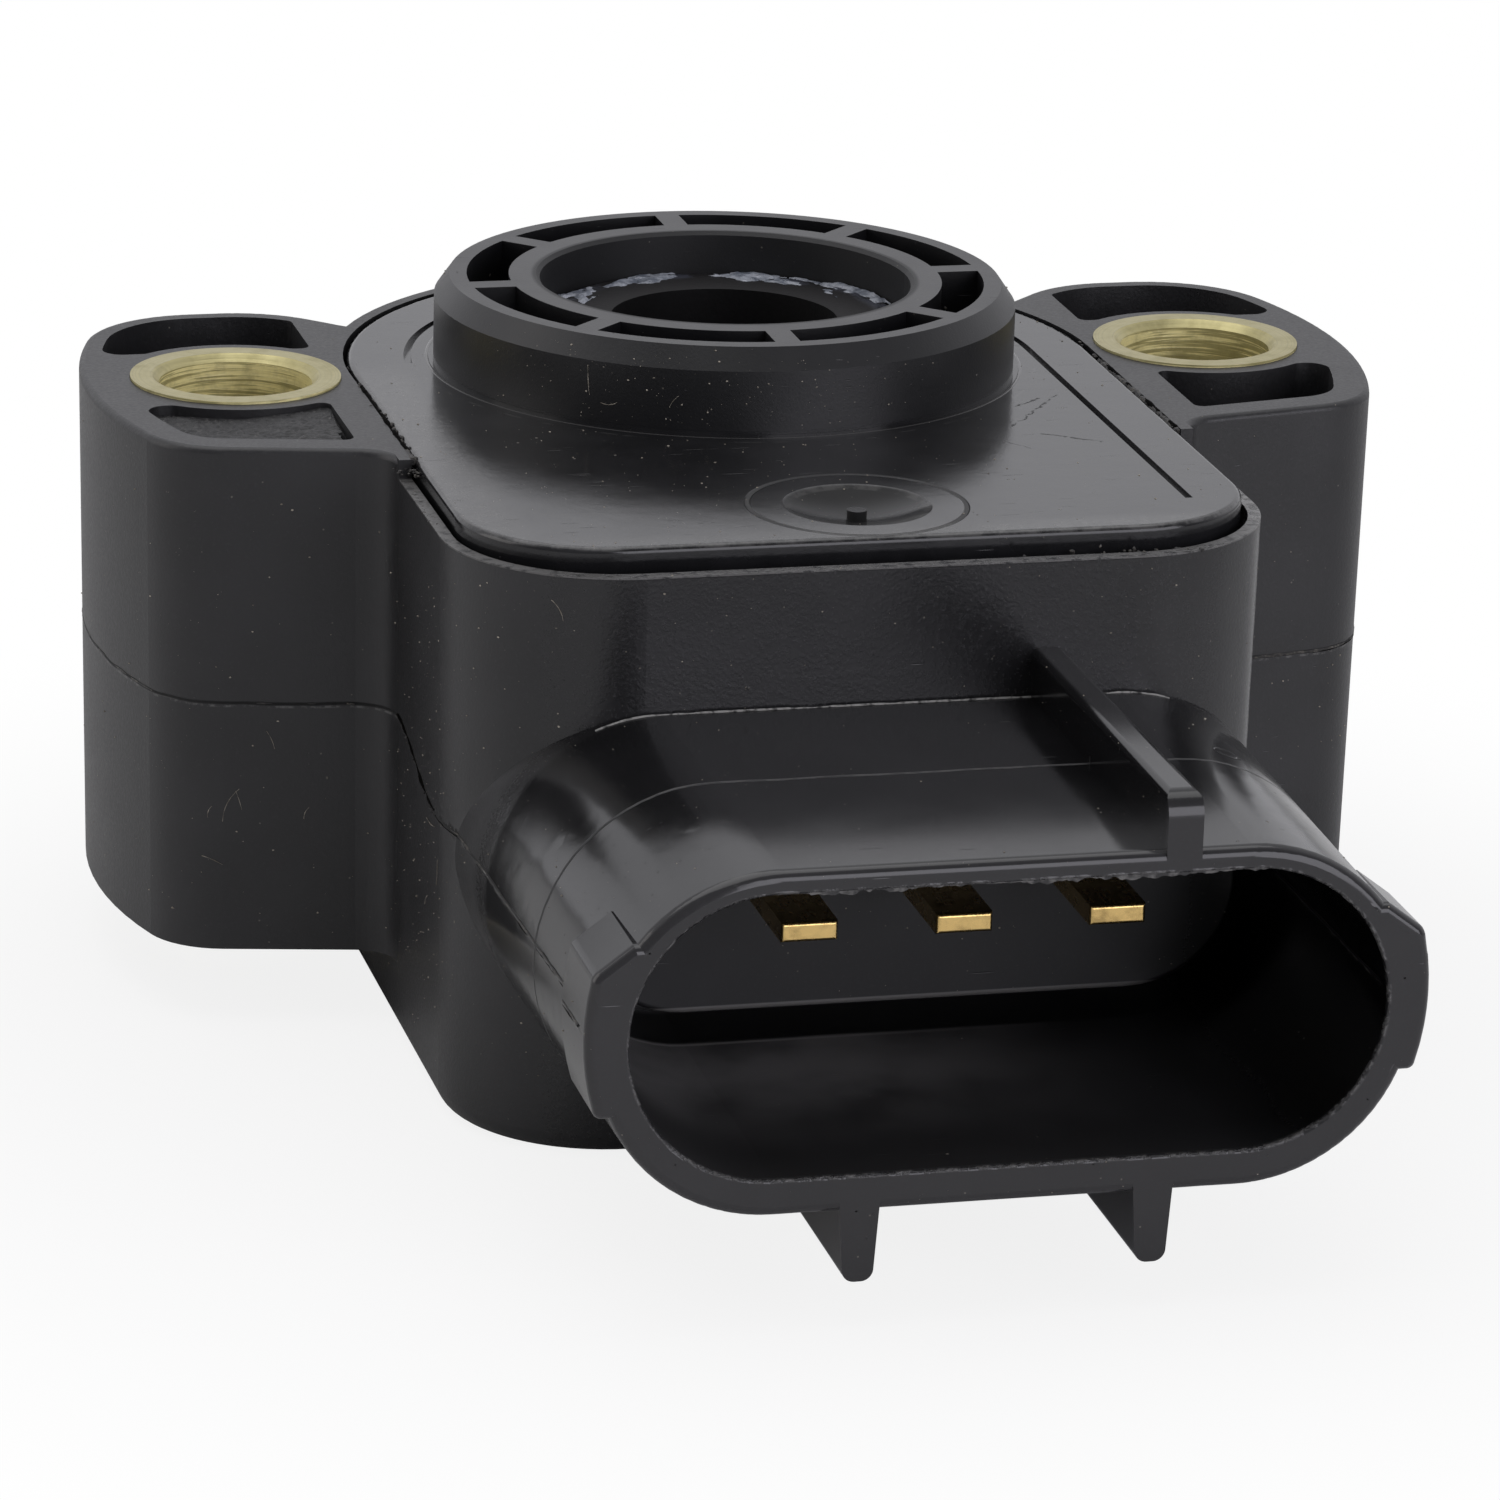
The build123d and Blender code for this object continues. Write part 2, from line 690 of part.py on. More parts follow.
with BuildPart() as return_spring:
    with BuildSketch(Plane.XY.offset(spring_low)):
        with BuildLine():
            for n in range(spring_half_turns):
                turn_r = spring_inner_r + n * spring_step
                CenterArc((spring_step * (n % 2), 0), turn_r, 180 * (n % 2), 180)
            Line((-spring_outer_r, 0), (-spring_outer_r, spring_tail_end))
        trace(line_width=spring_strip)
        with Locations((spring_tab_end, 0)):
            Rectangle(
                spring_inner_r + spring_strip / 2 - spring_tab_end,
                spring_tab_width,
                align=(Align.MIN, Align.MAX),
            )
    extrude(amount=spring_high - spring_low)

with BuildPart() as rotor_seal:
    with BuildSketch(Plane.XZ):
        with Locations((groove_r + seal_squeeze_room / 2 + seal_wire_r, seal_z)):
            Circle(seal_wire_r)
    revolve(axis=Axis.Z)

with BuildPart() as thrust_washer:
    with BuildSketch(Plane.XY.offset(neck_bottom - washer_play)):
        Circle(neck_r)
        Circle(rotor_hub_r + rotor_fit, mode=Mode.SUBTRACT)
    extrude(amount=-washer_thickness)

pieces = {
    "housing": housing.part,
    "cover": cover.part,
    "left_bush": left_bush_part,
    "right_bush": right_bush,
    "ground_terminal": ground_terminal,
    "signal_terminal": signal_terminal.part,
    "supply_terminal": supply_terminal,
    "element_board": element_board.part,
    "rotor": rotor.part,
    "wiper": wiper.part,
    "return_spring": return_spring.part,
    "rotor_seal": rotor_seal.part,
    "thrust_washer": thrust_washer.part,
}
for name, piece in pieces.items():
    piece.label = name
    export_step(piece, f"parts/{name}.step")
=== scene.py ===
"""Looks of a rotary throttle position sensor, laid out as an add-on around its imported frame."""

import math
import random
from itertools import groupby

import bmesh
import bpy
from bpy.props import FloatProperty, FloatVectorProperty, IntProperty, PointerProperty
from bpy.types import Operator, Panel, PropertyGroup
from mathutils import Matrix, Vector, noise
from mathutils.bvhtree import BVHTree
from mathutils.geometry import delaunay_2d_cdt


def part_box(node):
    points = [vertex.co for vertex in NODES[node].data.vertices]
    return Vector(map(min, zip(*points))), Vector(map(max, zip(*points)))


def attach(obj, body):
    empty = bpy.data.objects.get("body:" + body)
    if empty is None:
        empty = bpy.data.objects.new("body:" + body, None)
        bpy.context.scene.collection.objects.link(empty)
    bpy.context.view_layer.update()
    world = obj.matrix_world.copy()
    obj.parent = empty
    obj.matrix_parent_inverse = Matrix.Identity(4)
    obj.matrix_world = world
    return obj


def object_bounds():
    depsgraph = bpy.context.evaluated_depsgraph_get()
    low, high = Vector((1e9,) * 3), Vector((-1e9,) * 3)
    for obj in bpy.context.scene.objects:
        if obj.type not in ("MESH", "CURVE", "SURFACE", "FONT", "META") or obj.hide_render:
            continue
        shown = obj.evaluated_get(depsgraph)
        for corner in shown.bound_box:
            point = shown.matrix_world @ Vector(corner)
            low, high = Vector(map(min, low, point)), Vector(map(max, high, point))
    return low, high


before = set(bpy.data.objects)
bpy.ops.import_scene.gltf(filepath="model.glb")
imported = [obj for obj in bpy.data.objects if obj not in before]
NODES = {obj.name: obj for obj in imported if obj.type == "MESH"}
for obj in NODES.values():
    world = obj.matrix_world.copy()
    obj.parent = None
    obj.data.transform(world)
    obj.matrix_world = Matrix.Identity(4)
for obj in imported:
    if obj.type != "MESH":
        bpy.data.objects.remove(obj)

bl_info = {
    "name": "Throttle Position Sensor Looks",
    "version": (1, 0, 0),
    "blender": (4, 5, 0),
    "location": "3D View > Sidebar > Sensor",
    "description": "Finishes, wear and studio of a moulded rotary sensor",
    "category": "Object",
}

# Places on the solids, in metres.
MM = 0.001
CAD_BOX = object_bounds()
HOUSING_LOW, HOUSING_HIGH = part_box("housing")
COVER_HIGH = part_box("cover")[1]
FACE_Z = HOUSING_HIGH.z
RIM_Z = FACE_Z - 0.00075
HOUSING_SEAT = COVER_HIGH.x + 0.00015
SEAM_X = (HOUSING_SEAT + COVER_HIGH.x) / 2.0
MOUTH_TOP = -0.00715
TEAR_FLOOR = (-0.0011, -0.0009)

# Places on the solids, in millimetres. Depths are below the mounting face, and a distance
# called "out" is measured from the rotor's axis toward the connector.
PARTING_DEPTH, PARTING_DROP = 10.4, 1.55
BEND_START, BEND_END = -12.8, -20.0
ROOT_Y = -27.5
SLIDE_OUT = 35.3
EJECTOR_X, EJECTOR_OUT, EJECTOR_RADIUS = 11.15, 33.6, 0.42
SHROUD_OVAL = (13.9, 5.8, -12.6)
SOCKET_OVAL = (13.85, 5.3, -12.45)
LEDGE_OUT, EDGE_REFLECTION_OUT, LEDGE_Z = 30.95, 31.25, -16.5
GATE_OUT, GATE_RADIUS = 21.55, 4.15
BOLT_X = 20.0
FAR = 60.0

# Colours that are not settings.
SHADE_BLACK = (0.001, 0.001, 0.001)
LINE_AND_SHADE_BLACK = (0.002, 0.002, 0.002)
SHROUD_BLACK = (0.003, 0.003, 0.0034)
COLLAR_BLACK = (0.004, 0.004, 0.005)
SOCKET_FLOOR_LIGHT = (0.13, 0.127, 0.128)
MOUTH_GREY = (0.034, 0.033, 0.035)
SCUFF_GREY = (0.06, 0.058, 0.055)
BORDER_AND_HIGHLIGHT_GREY = (0.15, 0.148, 0.145)
STAINED_BRASS = (0.3, 0.265, 0.12)
TURNED_BRASS = (0.26, 0.235, 0.13)
RINGED_BRASS = (0.2, 0.175, 0.06)
GREASE_FILM = (0.2, 0.22, 0.3)
CERAMIC, CERAMIC_SHADE, TRACK = (0.74, 0.73, 0.68), (0.62, 0.61, 0.56), (0.03, 0.028, 0.026)
CONTACT, CONTACT_SHADE = (0.72, 0.5, 0.28), (0.5, 0.34, 0.19)
RUBBER, RUBBER_BLOOM = (0.018, 0.016, 0.014), (0.04, 0.037, 0.033)
WHITE = (1.0, 1.0, 1.0)

# How much flash each part of the parting line carries.
FLASH_SHARES = {"end": 0.55, "front": 0.55, "flank": 0.9, "right": 1.1, "root": 1.5}

# Fibres: where the ray starts and its way, then the length in millimetres and the turn.
AHEAD, RIGHTWARD, DOWN = (0, 1, 0), (1, 0, 0), (0, 0, -1)
LINT = (
    (-21.9, -FAR, -14.6, AHEAD, 1.5, 0.35),
    (-21.6, -FAR, -14.4, AHEAD, 0.8, 1.1),
    (-22.7, -FAR, -14.9, AHEAD, 0.5, 0.5),
    (-20.4, -FAR, -11.9, AHEAD, 0.8, 1.2),
    (-22.6, -FAR, -16.9, AHEAD, 0.9, 2.0),
    (-19.0, -FAR, -14.9, AHEAD, 0.5, 0.4),
    (-7.6, -FAR, 1.7, AHEAD, 1.2, 1.0),
    (-6.9, -FAR, 0.9, AHEAD, 0.7, 2.6),
    (-4.6, -FAR, 1.2, AHEAD, 0.6, 0.2),
    (-FAR, -19.4, -12.6, RIGHTWARD, 1.6, 0.9),
    (-FAR, -20.6, -14.2, RIGHTWARD, 1.1, 2.2),
    (-FAR, -18.6, -16.0, RIGHTWARD, 0.8, 1.5),
    (-12.6, -FAR, -2.2, AHEAD, 0.9, 1.4),
)
FIBRE_STEPS = 8

# Scrapes on the cover: start, end and width in millimetres.
SCRAPES = (
    ((9.8, -12.9), (11.7, -14.3), 0.11),
    ((8.9, -11.6), (11.9, -7.4), 0.07),
    ((9.9, -8.7), (11.0, -7.7), 0.06),
    ((8.0, -13.8), (8.7, -14.8), 0.05),
)


def maths(operation, swapped=False):
    """A method that adds a Math node for a Shade and what it is combined with."""

    def method(self, *others):
        values = (*others, self) if swapped else (self, *others)
        return self.finish.node("ShaderNodeMath", {"operation": operation}, dict(enumerate(values)))

    return method


class Shade:
    """A node's output that takes part in Python arithmetic."""

    def __init__(self, finish, socket):
        self.finish = finish
        self.socket = socket

    __add__ = __radd__ = maths("ADD")
    __sub__ = maths("SUBTRACT")
    __rsub__ = maths("SUBTRACT", swapped=True)
    __mul__ = __rmul__ = maths("MULTIPLY")
    __pow__ = maths("POWER")
    __abs__ = maths("ABSOLUTE")
    least = maths("MINIMUM")
    most = maths("MAXIMUM")

    def ease(self, low, high, start=0.0, end=1.0):
        """Goes smoothly from start to end as the value goes from low to high."""
        settings = {"interpolation_type": "SMOOTHSTEP"}
        sockets = {0: self, 1: low, 2: high, 3: start, 4: end}
        return self.finish.node("ShaderNodeMapRange", settings, sockets)

    def band(self, middle, half, soft):
        """1 within half of middle, 0 further off than half plus soft."""
        return abs(self - middle).ease(half + soft, half)


class Room:
    """A node tree that grows from Python expressions."""

    def __init__(self, tree):
        self.tree = tree
        tree.nodes.clear()

    def node(self, kind, settings, sockets, out=0):
        made = self.tree.nodes.new(kind)
        for name, value in settings.items():
            setattr(made, name, value)
        for key, value in sockets.items():
            self.feed(made.inputs[key], value)
        return None if out is None else Shade(self, made.outputs[out])

    def feed(self, socket, value):
        if isinstance(value, Shade):
            self.tree.links.new(value.socket, socket)
        elif socket.type == "RGBA":
            socket.default_value = (*value[:3], 1.0)
        else:
            socket.default_value = value


class Finish(Room):
    """A material under construction, in the part's own millimetres."""

    def __init__(self, name):
        self.material = bpy.data.materials.new(name)
        self.material.use_nodes = True
        super().__init__(self.material.node_tree)
        self.surface = self.tree.nodes.new("ShaderNodeBsdfPrincipled")
        self.output = self.tree.nodes.new("ShaderNodeOutputMaterial")
        self.tree.links.new(self.surface.outputs[0], self.output.inputs["Surface"])
        place = self.node("ShaderNodeTexCoord", {}, {}, "Object")
        scaled = {0: place, "Scale": 1.0 / MM}
        self.place = self.node("ShaderNodeVectorMath", {"operation": "SCALE"}, scaled)
        self.x, self.y, self.z = self.parts(self.place)
        facing = self.node("ShaderNodeNewGeometry", {}, {}, "Normal")
        _, self.facing_back, self.facing_up = self.parts(facing)

    def parts(self, vector):
        split = self.node("ShaderNodeSeparateXYZ", {}, {0: vector}).socket.node
        return [Shade(self, socket) for socket in split.outputs]

    def set(self, tint, rough, normal=None, **more):
        """Feeds the surface; more holds its other inputs, with underscores in their names."""
        self.feed(self.surface.inputs["Base Color"], tint)
        self.feed(self.surface.inputs["Roughness"], rough)
        if normal is not None:
            self.feed(self.surface.inputs["Normal"], normal)
        for name, value in more.items():
            self.feed(self.surface.inputs[name.replace("_", " ")], value)
        return self.material

    def noise(self, scale, detail=2.0, rough=0.5, place=None):
        place = place or self.place
        sockets = {"Vector": place, "Scale": scale, "Detail": detail, "Roughness": rough}
        return self.node("ShaderNodeTexNoise", {"normalize": True}, sockets)

    def streaks(self, stretch, detail=3.0, rough=0.6):
        """Noise drawn out along the part's axes."""
        return self.noise(1.0, detail, rough, self.stretched(stretch))

    def stretched(self, scale, turn=(0, 0, 0)):
        """The part's coordinates turned and then scaled, for marks with a direction."""
        settings = {"vector_type": "POINT"}
        sockets = {"Vector": self.place, "Rotation": turn, "Scale": scale}
        return self.node("ShaderNodeMapping", settings, sockets)

    def cells(self, place, scale, share, channel):
        """Distance to the nearest cell's middle, and a mask of a share of the cells."""
        settings, sockets = {"feature": "F1"}, {"Vector": place, "Scale": scale}
        near = self.node("ShaderNodeTexVoronoi", settings, sockets, "Distance")
        tint = self.node("ShaderNodeTexVoronoi", settings, sockets, "Color")
        pick = self.node("ShaderNodeSeparateColor", {"mode": "RGB"}, {0: tint}, channel)
        return near, pick.ease(1.0 - share, 1.0 - share + 0.01)

    def specks(self, scale, share, size):
        """Dust: small uneven dots on a share of the cells."""
        near, picked = self.cells(self.place, scale, share, 0)
        uneven = near + (self.noise(scale * 5.0, 1.0) - 0.5) * size
        return uneven.ease(size, size * 0.4) * picked

    def scratches(self, turn, length, width, share):
        """Short fine lines in one direction."""
        place = self.stretched((1.0 / length, 1.0 / width, 1.0 / width), turn)
        near, picked = self.cells(place, 1.0, share, 1)
        return near.ease(0.22, 0.08) * picked

    def colour(self, factor, first, second):
        settings = {"data_type": "RGBA", "clamp_factor": True}
        return self.node("ShaderNodeMix", settings, {0: factor, 6: first, 7: second}, 2)

    def bump(self, height, depth_mm):
        sockets = {"Height": height, "Strength": 1.0, "Distance": depth_mm * MM}
        return self.node("ShaderNodeBump", {}, sockets)


def paint(name, text, default):
    """A colour that a user can change."""
    more = {"subtype": "COLOR", "min": 0.0, "max": 1.0}
    return FloatVectorProperty(name=name, description=text, default=default, **more)


def amount(name, text, default, **more):
    """A number that a user can change, with its unit or subtype."""
    return FloatProperty(name=name, description=text, default=default, **more)


def angle(name, text, degrees):
    """An angle that a user can change."""
    return amount(name, text, math.radians(degrees), subtype="ANGLE")


class StageSettings(PropertyGroup):
    """The studio round the part."""

    azimuth: angle("Azimuth", "Turn of the view", -14.26)
    elevation: angle("Elevation", "Height of the view", 17.99)
    roll: angle("Roll", "Tilt of the view", 1.61)
    eye: FloatVectorProperty(
        name="Eye",
        description="Place of the camera",
        default=(-0.0662, -0.2667, 0.0725),
        subtype="TRANSLATION",
        unit="LENGTH",
    )
    lens: amount("Lens", "Focal length in millimetres", 168.0, min=20.0)
    floor_colour: paint("Floor", "Colour of the floor", (0.93, 0.93, 0.93))
    ambient: amount("Ambient", "Level of the light from all round", 0.28, min=0.0)
    front_level: amount("Front level", "Brightness of the room in front", 0.32, min=0.0)
    top_power: amount("Top", "Power of the overhead lamp", 1.3, min=0.0, unit="POWER")
    left_power: amount("Left", "Power of the lamp on the left", 0.5, min=0.0, unit="POWER")
    front_power: amount("Front", "Power of the low lamp in front", 2.6, min=0.0, unit="POWER")


class PlasticSettings(PropertyGroup):
    """The black mouldings."""

    housing_colour: paint("Housing", "Colour of the housing", (0.012, 0.0118, 0.0128))
    cover_colour: paint("Cover", "Colour of the cover", (0.011, 0.011, 0.012))
    rotor_colour: paint("Rotor", "Colour of the rotor", (0.006, 0.0055, 0.006))
    dust_colour: paint("Dust", "Colour of dust", (0.34, 0.31, 0.26))
    # The pale colour of wear, which is also used for painted highlights and a painted reflection.
    worn_and_highlight_colour: paint("Worn", "Colour of worn and torn plastic", (0.22, 0.215, 0.21))
    housing_rough: amount("Housing roughness", "Roughness of the housing", 0.42, min=0.0, max=1.0)
    cover_rough: amount("Cover roughness", "Roughness of the cover", 0.15, min=0.0, max=1.0)
    dust_share: amount(
        "Dust share", "Share of the surface with dust", 0.05, min=0.0, max=1.0, subtype="FACTOR"
    )


class MetalSettings(PropertyGroup):
    """Sleeves, blades and the works inside."""

    brass: paint("Brass", "Colour of the sleeves", (0.63, 0.565, 0.285))
    gold: paint("Gold", "Colour of the blades", (0.8, 0.56, 0.22))
    steel: paint("Steel", "Colour of the spring", (0.5, 0.5, 0.51))


class DebrisSettings(PropertyGroup):
    """Flash, torn plastic, grease and dust."""

    flash_size: amount("Flash", "Thickness of the flash", 0.00006, min=0.0, unit="LENGTH")
    tear_depth: amount("Tear depth", "Depth of the torn floor", 0.0004, unit="LENGTH")
    grease_height: amount("Grease", "Thickness of the grease", 0.0003, unit="LENGTH")
    grain_count: IntProperty(
        name="Grains", description="Number of dust grains", default=2400, min=0
    )
    seed: IntProperty(name="Seed", description="Seed of the scatter", default=7)


def dress(material, *nodes):
    """Gives carried-over nodes their finish."""
    for node in nodes:
        slots = NODES[node].data.materials
        slots.clear()
        slots.append(material)


def skin(node):
    """Search tree over a carried-over node's surface."""
    mesh = NODES[node].data
    faces = [p.vertices for p in mesh.polygons]
    return BVHTree.FromPolygons([v.co for v in mesh.vertices], faces)


def cast(tree, start, way):
    """Where a ray from start, in millimetres, meets the surface."""
    place, normal, _, _ = tree.ray_cast(Vector(start) * MM, Vector(way))
    return place, normal


def add_piece(name, shape, material, body="sensor_body"):
    """Makes a bmesh a piece that rides on a body, held inside the box of the solids."""
    bmesh.ops.recalc_face_normals(shape, faces=shape.faces)
    low, high = CAD_BOX
    for vert in shape.verts:
        vert.co = [min(max(value, a), b) for value, a, b in zip(vert.co, low, high)]
    mesh = bpy.data.meshes.new(name)
    shape.to_mesh(mesh)
    shape.free()
    mesh.materials.append(material)
    piece = bpy.data.objects.new(name, mesh)
    bpy.context.scene.collection.objects.link(piece)
    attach(piece, body)
    if not mesh.polygons:
        raise RuntimeError(f"{name} came out empty")


def shaded(colour, factor):
    """A colour made lighter or darker."""
    return tuple(factor * c for c in colour)


def unit(value):
    """A number held between 0 and 1."""
    return max(0.0, min(1.0, value))


def rise(height):
    """A step straight up."""
    return Vector((0.0, 0.0, height))


def wobble(place, scale, seed=0.0):
    """Smooth noise from -1 to 1 at a place, with features about scale metres wide."""
    return noise.fractal(place / scale + Vector((seed, 2.0 * seed, 3.0 * seed)), 0.9, 2.0, 3)


def tube(shape, rings):
    """Faces over a row of rings, closed at both ends."""
    for near, far in zip(rings, rings[1:]):
        for side in range(len(near)):
            beside = (side + 1) % len(near)
            shape.faces.new((near[side], near[beside], far[beside], far[side]))
    for ring in (rings[0], rings[-1]):
        shape.faces.new(ring)


def bead(shape, path, sizes, sides):
    """Uneven bead along a path."""
    turns = [2.0 * math.pi * side / sides for side in range(sides)]
    rings = []
    for n, (place, size) in enumerate(zip(path, sizes)):
        ahead = path[min(n + 1, len(path) - 1)] - path[max(n - 1, 0)]
        across = ahead.cross(Vector((0.3, 0.2, 1.0))).normalized()
        up = across.cross(ahead).normalized()
        ring = [place + (across * math.cos(t) + up * math.sin(t)) * size for t in turns]
        rings.append([shape.verts.new(corner) for corner in ring])
    tube(shape, rings)


def broken_bead(shape, spots, least, sides):
    """Beads along the stretches of a row of places and sizes that are thicker than least."""
    for thick, stretch in groupby(spots, lambda spot: spot[1] > least):
        places, sizes = zip(*stretch)
        if thick and len(places) > 2:
            bead(shape, places, sizes, sides)


def crumb(shape, place, size, squash=1.0):
    """One uneven grain."""
    made = bmesh.ops.create_icosphere(shape, subdivisions=1, radius=size)["verts"]
    for vert in made:
        vert.co *= 1.0 + 0.6 * noise.noise(vert.co / size + place * 9000.0)
        vert.co.z *= squash
        vert.co += place


def stadium(finish, half_x, half_z, centre_z):
    """Distance to an oval with straight long sides, in the x-z plane."""
    straight = half_x - half_z
    across = (abs(finish.x) - straight).most(0.0)
    height = finish.z - centre_z
    return (across * across + height * height) ** 0.5 - half_z


def stroke(finish, start, end, width, ragged):
    """Uneven mark between two places on the cover, in millimetres."""
    along = Vector(end) - Vector(start)
    half = along.length / 2.0
    along.normalize()
    x, y = finish.x - start[0], finish.y - start[1]
    off = abs(y * along.x - x * along.y + (ragged - 0.5) * 0.8)
    reach = x * along.x + y * along.y
    return off.ease(width, width * 0.4) * reach.band(half, half, 0.2) * ragged.ease(0.38, 0.5)


class SENSOR_OT_housing(Operator):
    """Satin black moulding with a parting line, dust, a worn connector mouth, and painted light and
    shade in the socket, on the rim and along the cover's seam
    """

    bl_idname = "sensor.housing"
    bl_label = "Housing"

    def execute(self, context):
        look = context.scene.sensor_plastic
        f = Finish("housing_moulding")
        base = tuple(look.housing_colour)
        grain = f.noise(7.0, 3.0, 0.6)
        mottle = f.noise(0.22, 3.0, 0.55)
        flow = f.streaks((0.08, 0.9, 0.5), 2.0, 0.5)
        ragged = f.noise(2.2, 4.0, 0.65)
        wander = (f.noise(0.5, 1.0) - 0.5) * 0.16

        # Regions: the front wall, the shroud, its socket, its mouth and its outside.
        front = f.y.ease(-25.0, -27.0)
        shroud = f.y.ease(-27.3, -28.0)
        cavity = stadium(f, *SOCKET_OVAL)
        socket = cavity.ease(0.12, 0.03) * shroud * f.y.ease(-45.0, -44.7)
        face = f.y.ease(-44.6, -44.9)
        shell = shroud * (1.0 - socket) * (1.0 - face)
        # Painted shadow: the socket's right end is painted dark where the mouth's right edge blocks
        # the light.
        shadowed_socket_end = socket * f.x.ease(8.0, 12.0) * 0.9
        # Painted light: the socket's floor is painted lighter on its upward faces and toward the
        # left, where the light from the right front falls.
        floor = socket * f.facing_up.ease(0.2, 0.6) * f.x.ease(8.0, -5.0)
        floor = floor * f.y.ease(-43.0, -34.0) * mottle.ease(0.1, 0.7)
        # Painted shade: the floor under the pedestal's face is painted black.
        gap = socket * f.y.ease(-31.2, -30.9) * f.facing_up.ease(0.0, 0.4)
        flat_top = f.facing_up.ease(0.75, 0.95)
        right_flank = f.x.ease(14.5, 15.7) * f.y.ease(-13.5, -15.0)

        # Marks of the mould: its parting line, its slide and an ejector.
        bend = f.y.ease(BEND_START, BEND_END)
        parting = f.z + PARTING_DEPTH - wander + bend * PARTING_DROP
        on_side = abs(f.facing_up).ease(0.55, 0.4) * f.y.ease(-44.9, -43.0)
        wall = f.y.band(-18.0, 4.8, 0.6) * ragged.ease(0.4, 0.6)
        seam = abs(parting).ease(0.085 + wall * 0.22, 0.03 + wall * 0.12) * on_side
        lip = (parting + 0.12).band(0.0, 0.02, 0.05) * on_side * ragged.ease(0.45, 0.6)
        step = parting.ease(-0.04, 0.04) * on_side
        slide = (f.y + SLIDE_OUT - wander).band(0.0, 0.05, 0.06)
        slide = slide * stadium(f, *SHROUD_OVAL).ease(0.0, 0.1) * f.z.ease(-5.85, -6.0)
        knock = ((f.x - EJECTOR_X) ** 2.0 + (f.y + EJECTOR_OUT) ** 2.0) ** 0.5
        knock = knock.band(EJECTOR_RADIUS, 0.04, 0.05) * f.z.ease(-7.5, -7.2) * shroud
        # Painted reflection: a pale line on the socket's floor that stands for the mirrored
        # highlight of the pedestal's lower edge.
        pedestal_edge_reflection = (f.y + EDGE_REFLECTION_OUT).band(0.0, 0.06, 0.08) * socket
        pedestal_edge_reflection = pedestal_edge_reflection * f.z.ease(-15.5, -16.8) * f.x.ease(6.0, -9.0)
        # Painted highlight: a pale line along the pedestal's lower edge.
        ledge_highlight = socket * (f.y + LEDGE_OUT).band(0.0, 0.1, 0.06)
        ledge_highlight = ledge_highlight * f.z.band(LEDGE_Z, 0.12, 0.06) * f.x.ease(11.0, 8.0)

        # Wear and dirt, with a painted highlight on the rim's edge and painted shade along the
        # cover's seam.
        # Painted highlight: a pale ragged line along the housing rim's edge.
        rim = f.z.band(-0.87, 0.03, 0.03) * f.y.ease(-12.9, -13.2) * ragged.ease(0.32, 0.52)
        # Painted shade: a ragged dark band where the ears meet the cover.
        seam_shade = (abs(f.x) - HOUSING_SEAT / MM).ease(0.28, 0.02) * f.y.ease(-13.4, -12.8)
        seam_shade = seam_shade * f.y.ease(-1.0, -3.0) * ragged.ease(0.46, 0.56)
        mouth = abs(cavity).ease(0.16, 0.05) * f.y.ease(-44.7, -44.95) * ragged.ease(0.42, 0.62)
        dust = f.specks(1.1, look.dust_share, 0.09)
        lint = f.specks(2.6, look.dust_share * 1.2, 0.13)
        scuff = f.scratches((0.3, 0.2, 0.7), 2.4, 0.16, 0.03)

        tint = f.colour(mottle.ease(0.35, 0.7), base, shaded(base, 1.4))
        tint = f.colour(grain.ease(0.5, 0.8) * 0.5, tint, shaded(base, 2.4))
        tint = f.colour(shell * 0.55, tint, SHROUD_BLACK)
        # Painted light on the socket's floor.
        tint = f.colour(floor, tint, SOCKET_FLOOR_LIGHT)
        tint = f.colour(face * 0.5, tint, MOUTH_GREY)
        # Painted shade: black at the socket's right end, under the pedestal and along the cover's
        # seam.
        tint = f.colour(gap.most(seam_shade).most(shadowed_socket_end), tint, SHADE_BLACK)
        dark = (seam + slide * (1.0 - flat_top) + knock * 0.5).least(1.0)
        tint = f.colour(dark * 0.9, tint, LINE_AND_SHADE_BLACK)
        tint = f.colour((dust + lint * 0.6).least(1.0) * 0.5, tint, look.dust_colour)
        # Pale marks: wear at the mouth, the lip and the slide, painted highlights on the rim and
        # the pedestal's lower edge, and a painted reflection on the socket's floor.
        pale = mouth * 0.4 + rim * 0.5 + lip * 0.35 + pedestal_edge_reflection * 0.75 + ledge_highlight * 0.6
        pale = pale + slide * flat_top * ragged.ease(0.42, 0.56) * 0.16
        tint = f.colour(pale.least(1.0), tint, look.worn_and_highlight_colour)

        rough = look.housing_rough - front * 0.18 - shroud * 0.1 + socket * 0.34 - shadowed_socket_end * 0.3
        rough = rough + (mottle - 0.5) * 0.1 + (grain - 0.5) * (0.24 - shroud * 0.18)
        rough = rough + right_flank * -0.22 - scuff * 0.1 + dust * 0.3 + mouth * 0.2
        rough = rough + (seam + slide).least(1.0) * 0.4
        height = grain * (0.55 - shroud * 0.5) + flow * (0.1 - shroud * 0.09) + step * 0.8
        height = height - seam * 1.4 - slide * 0.5 - knock + dust * 1.2
        height = height - scuff * 0.4 + mouth * ragged * 4.0 + rim * ragged * 2.0
        material = f.set(tint, rough.least(0.9).most(0.1), f.bump(height, 0.02), IOR=1.5)
        dress(material, "housing")
        return {"FINISHED"}


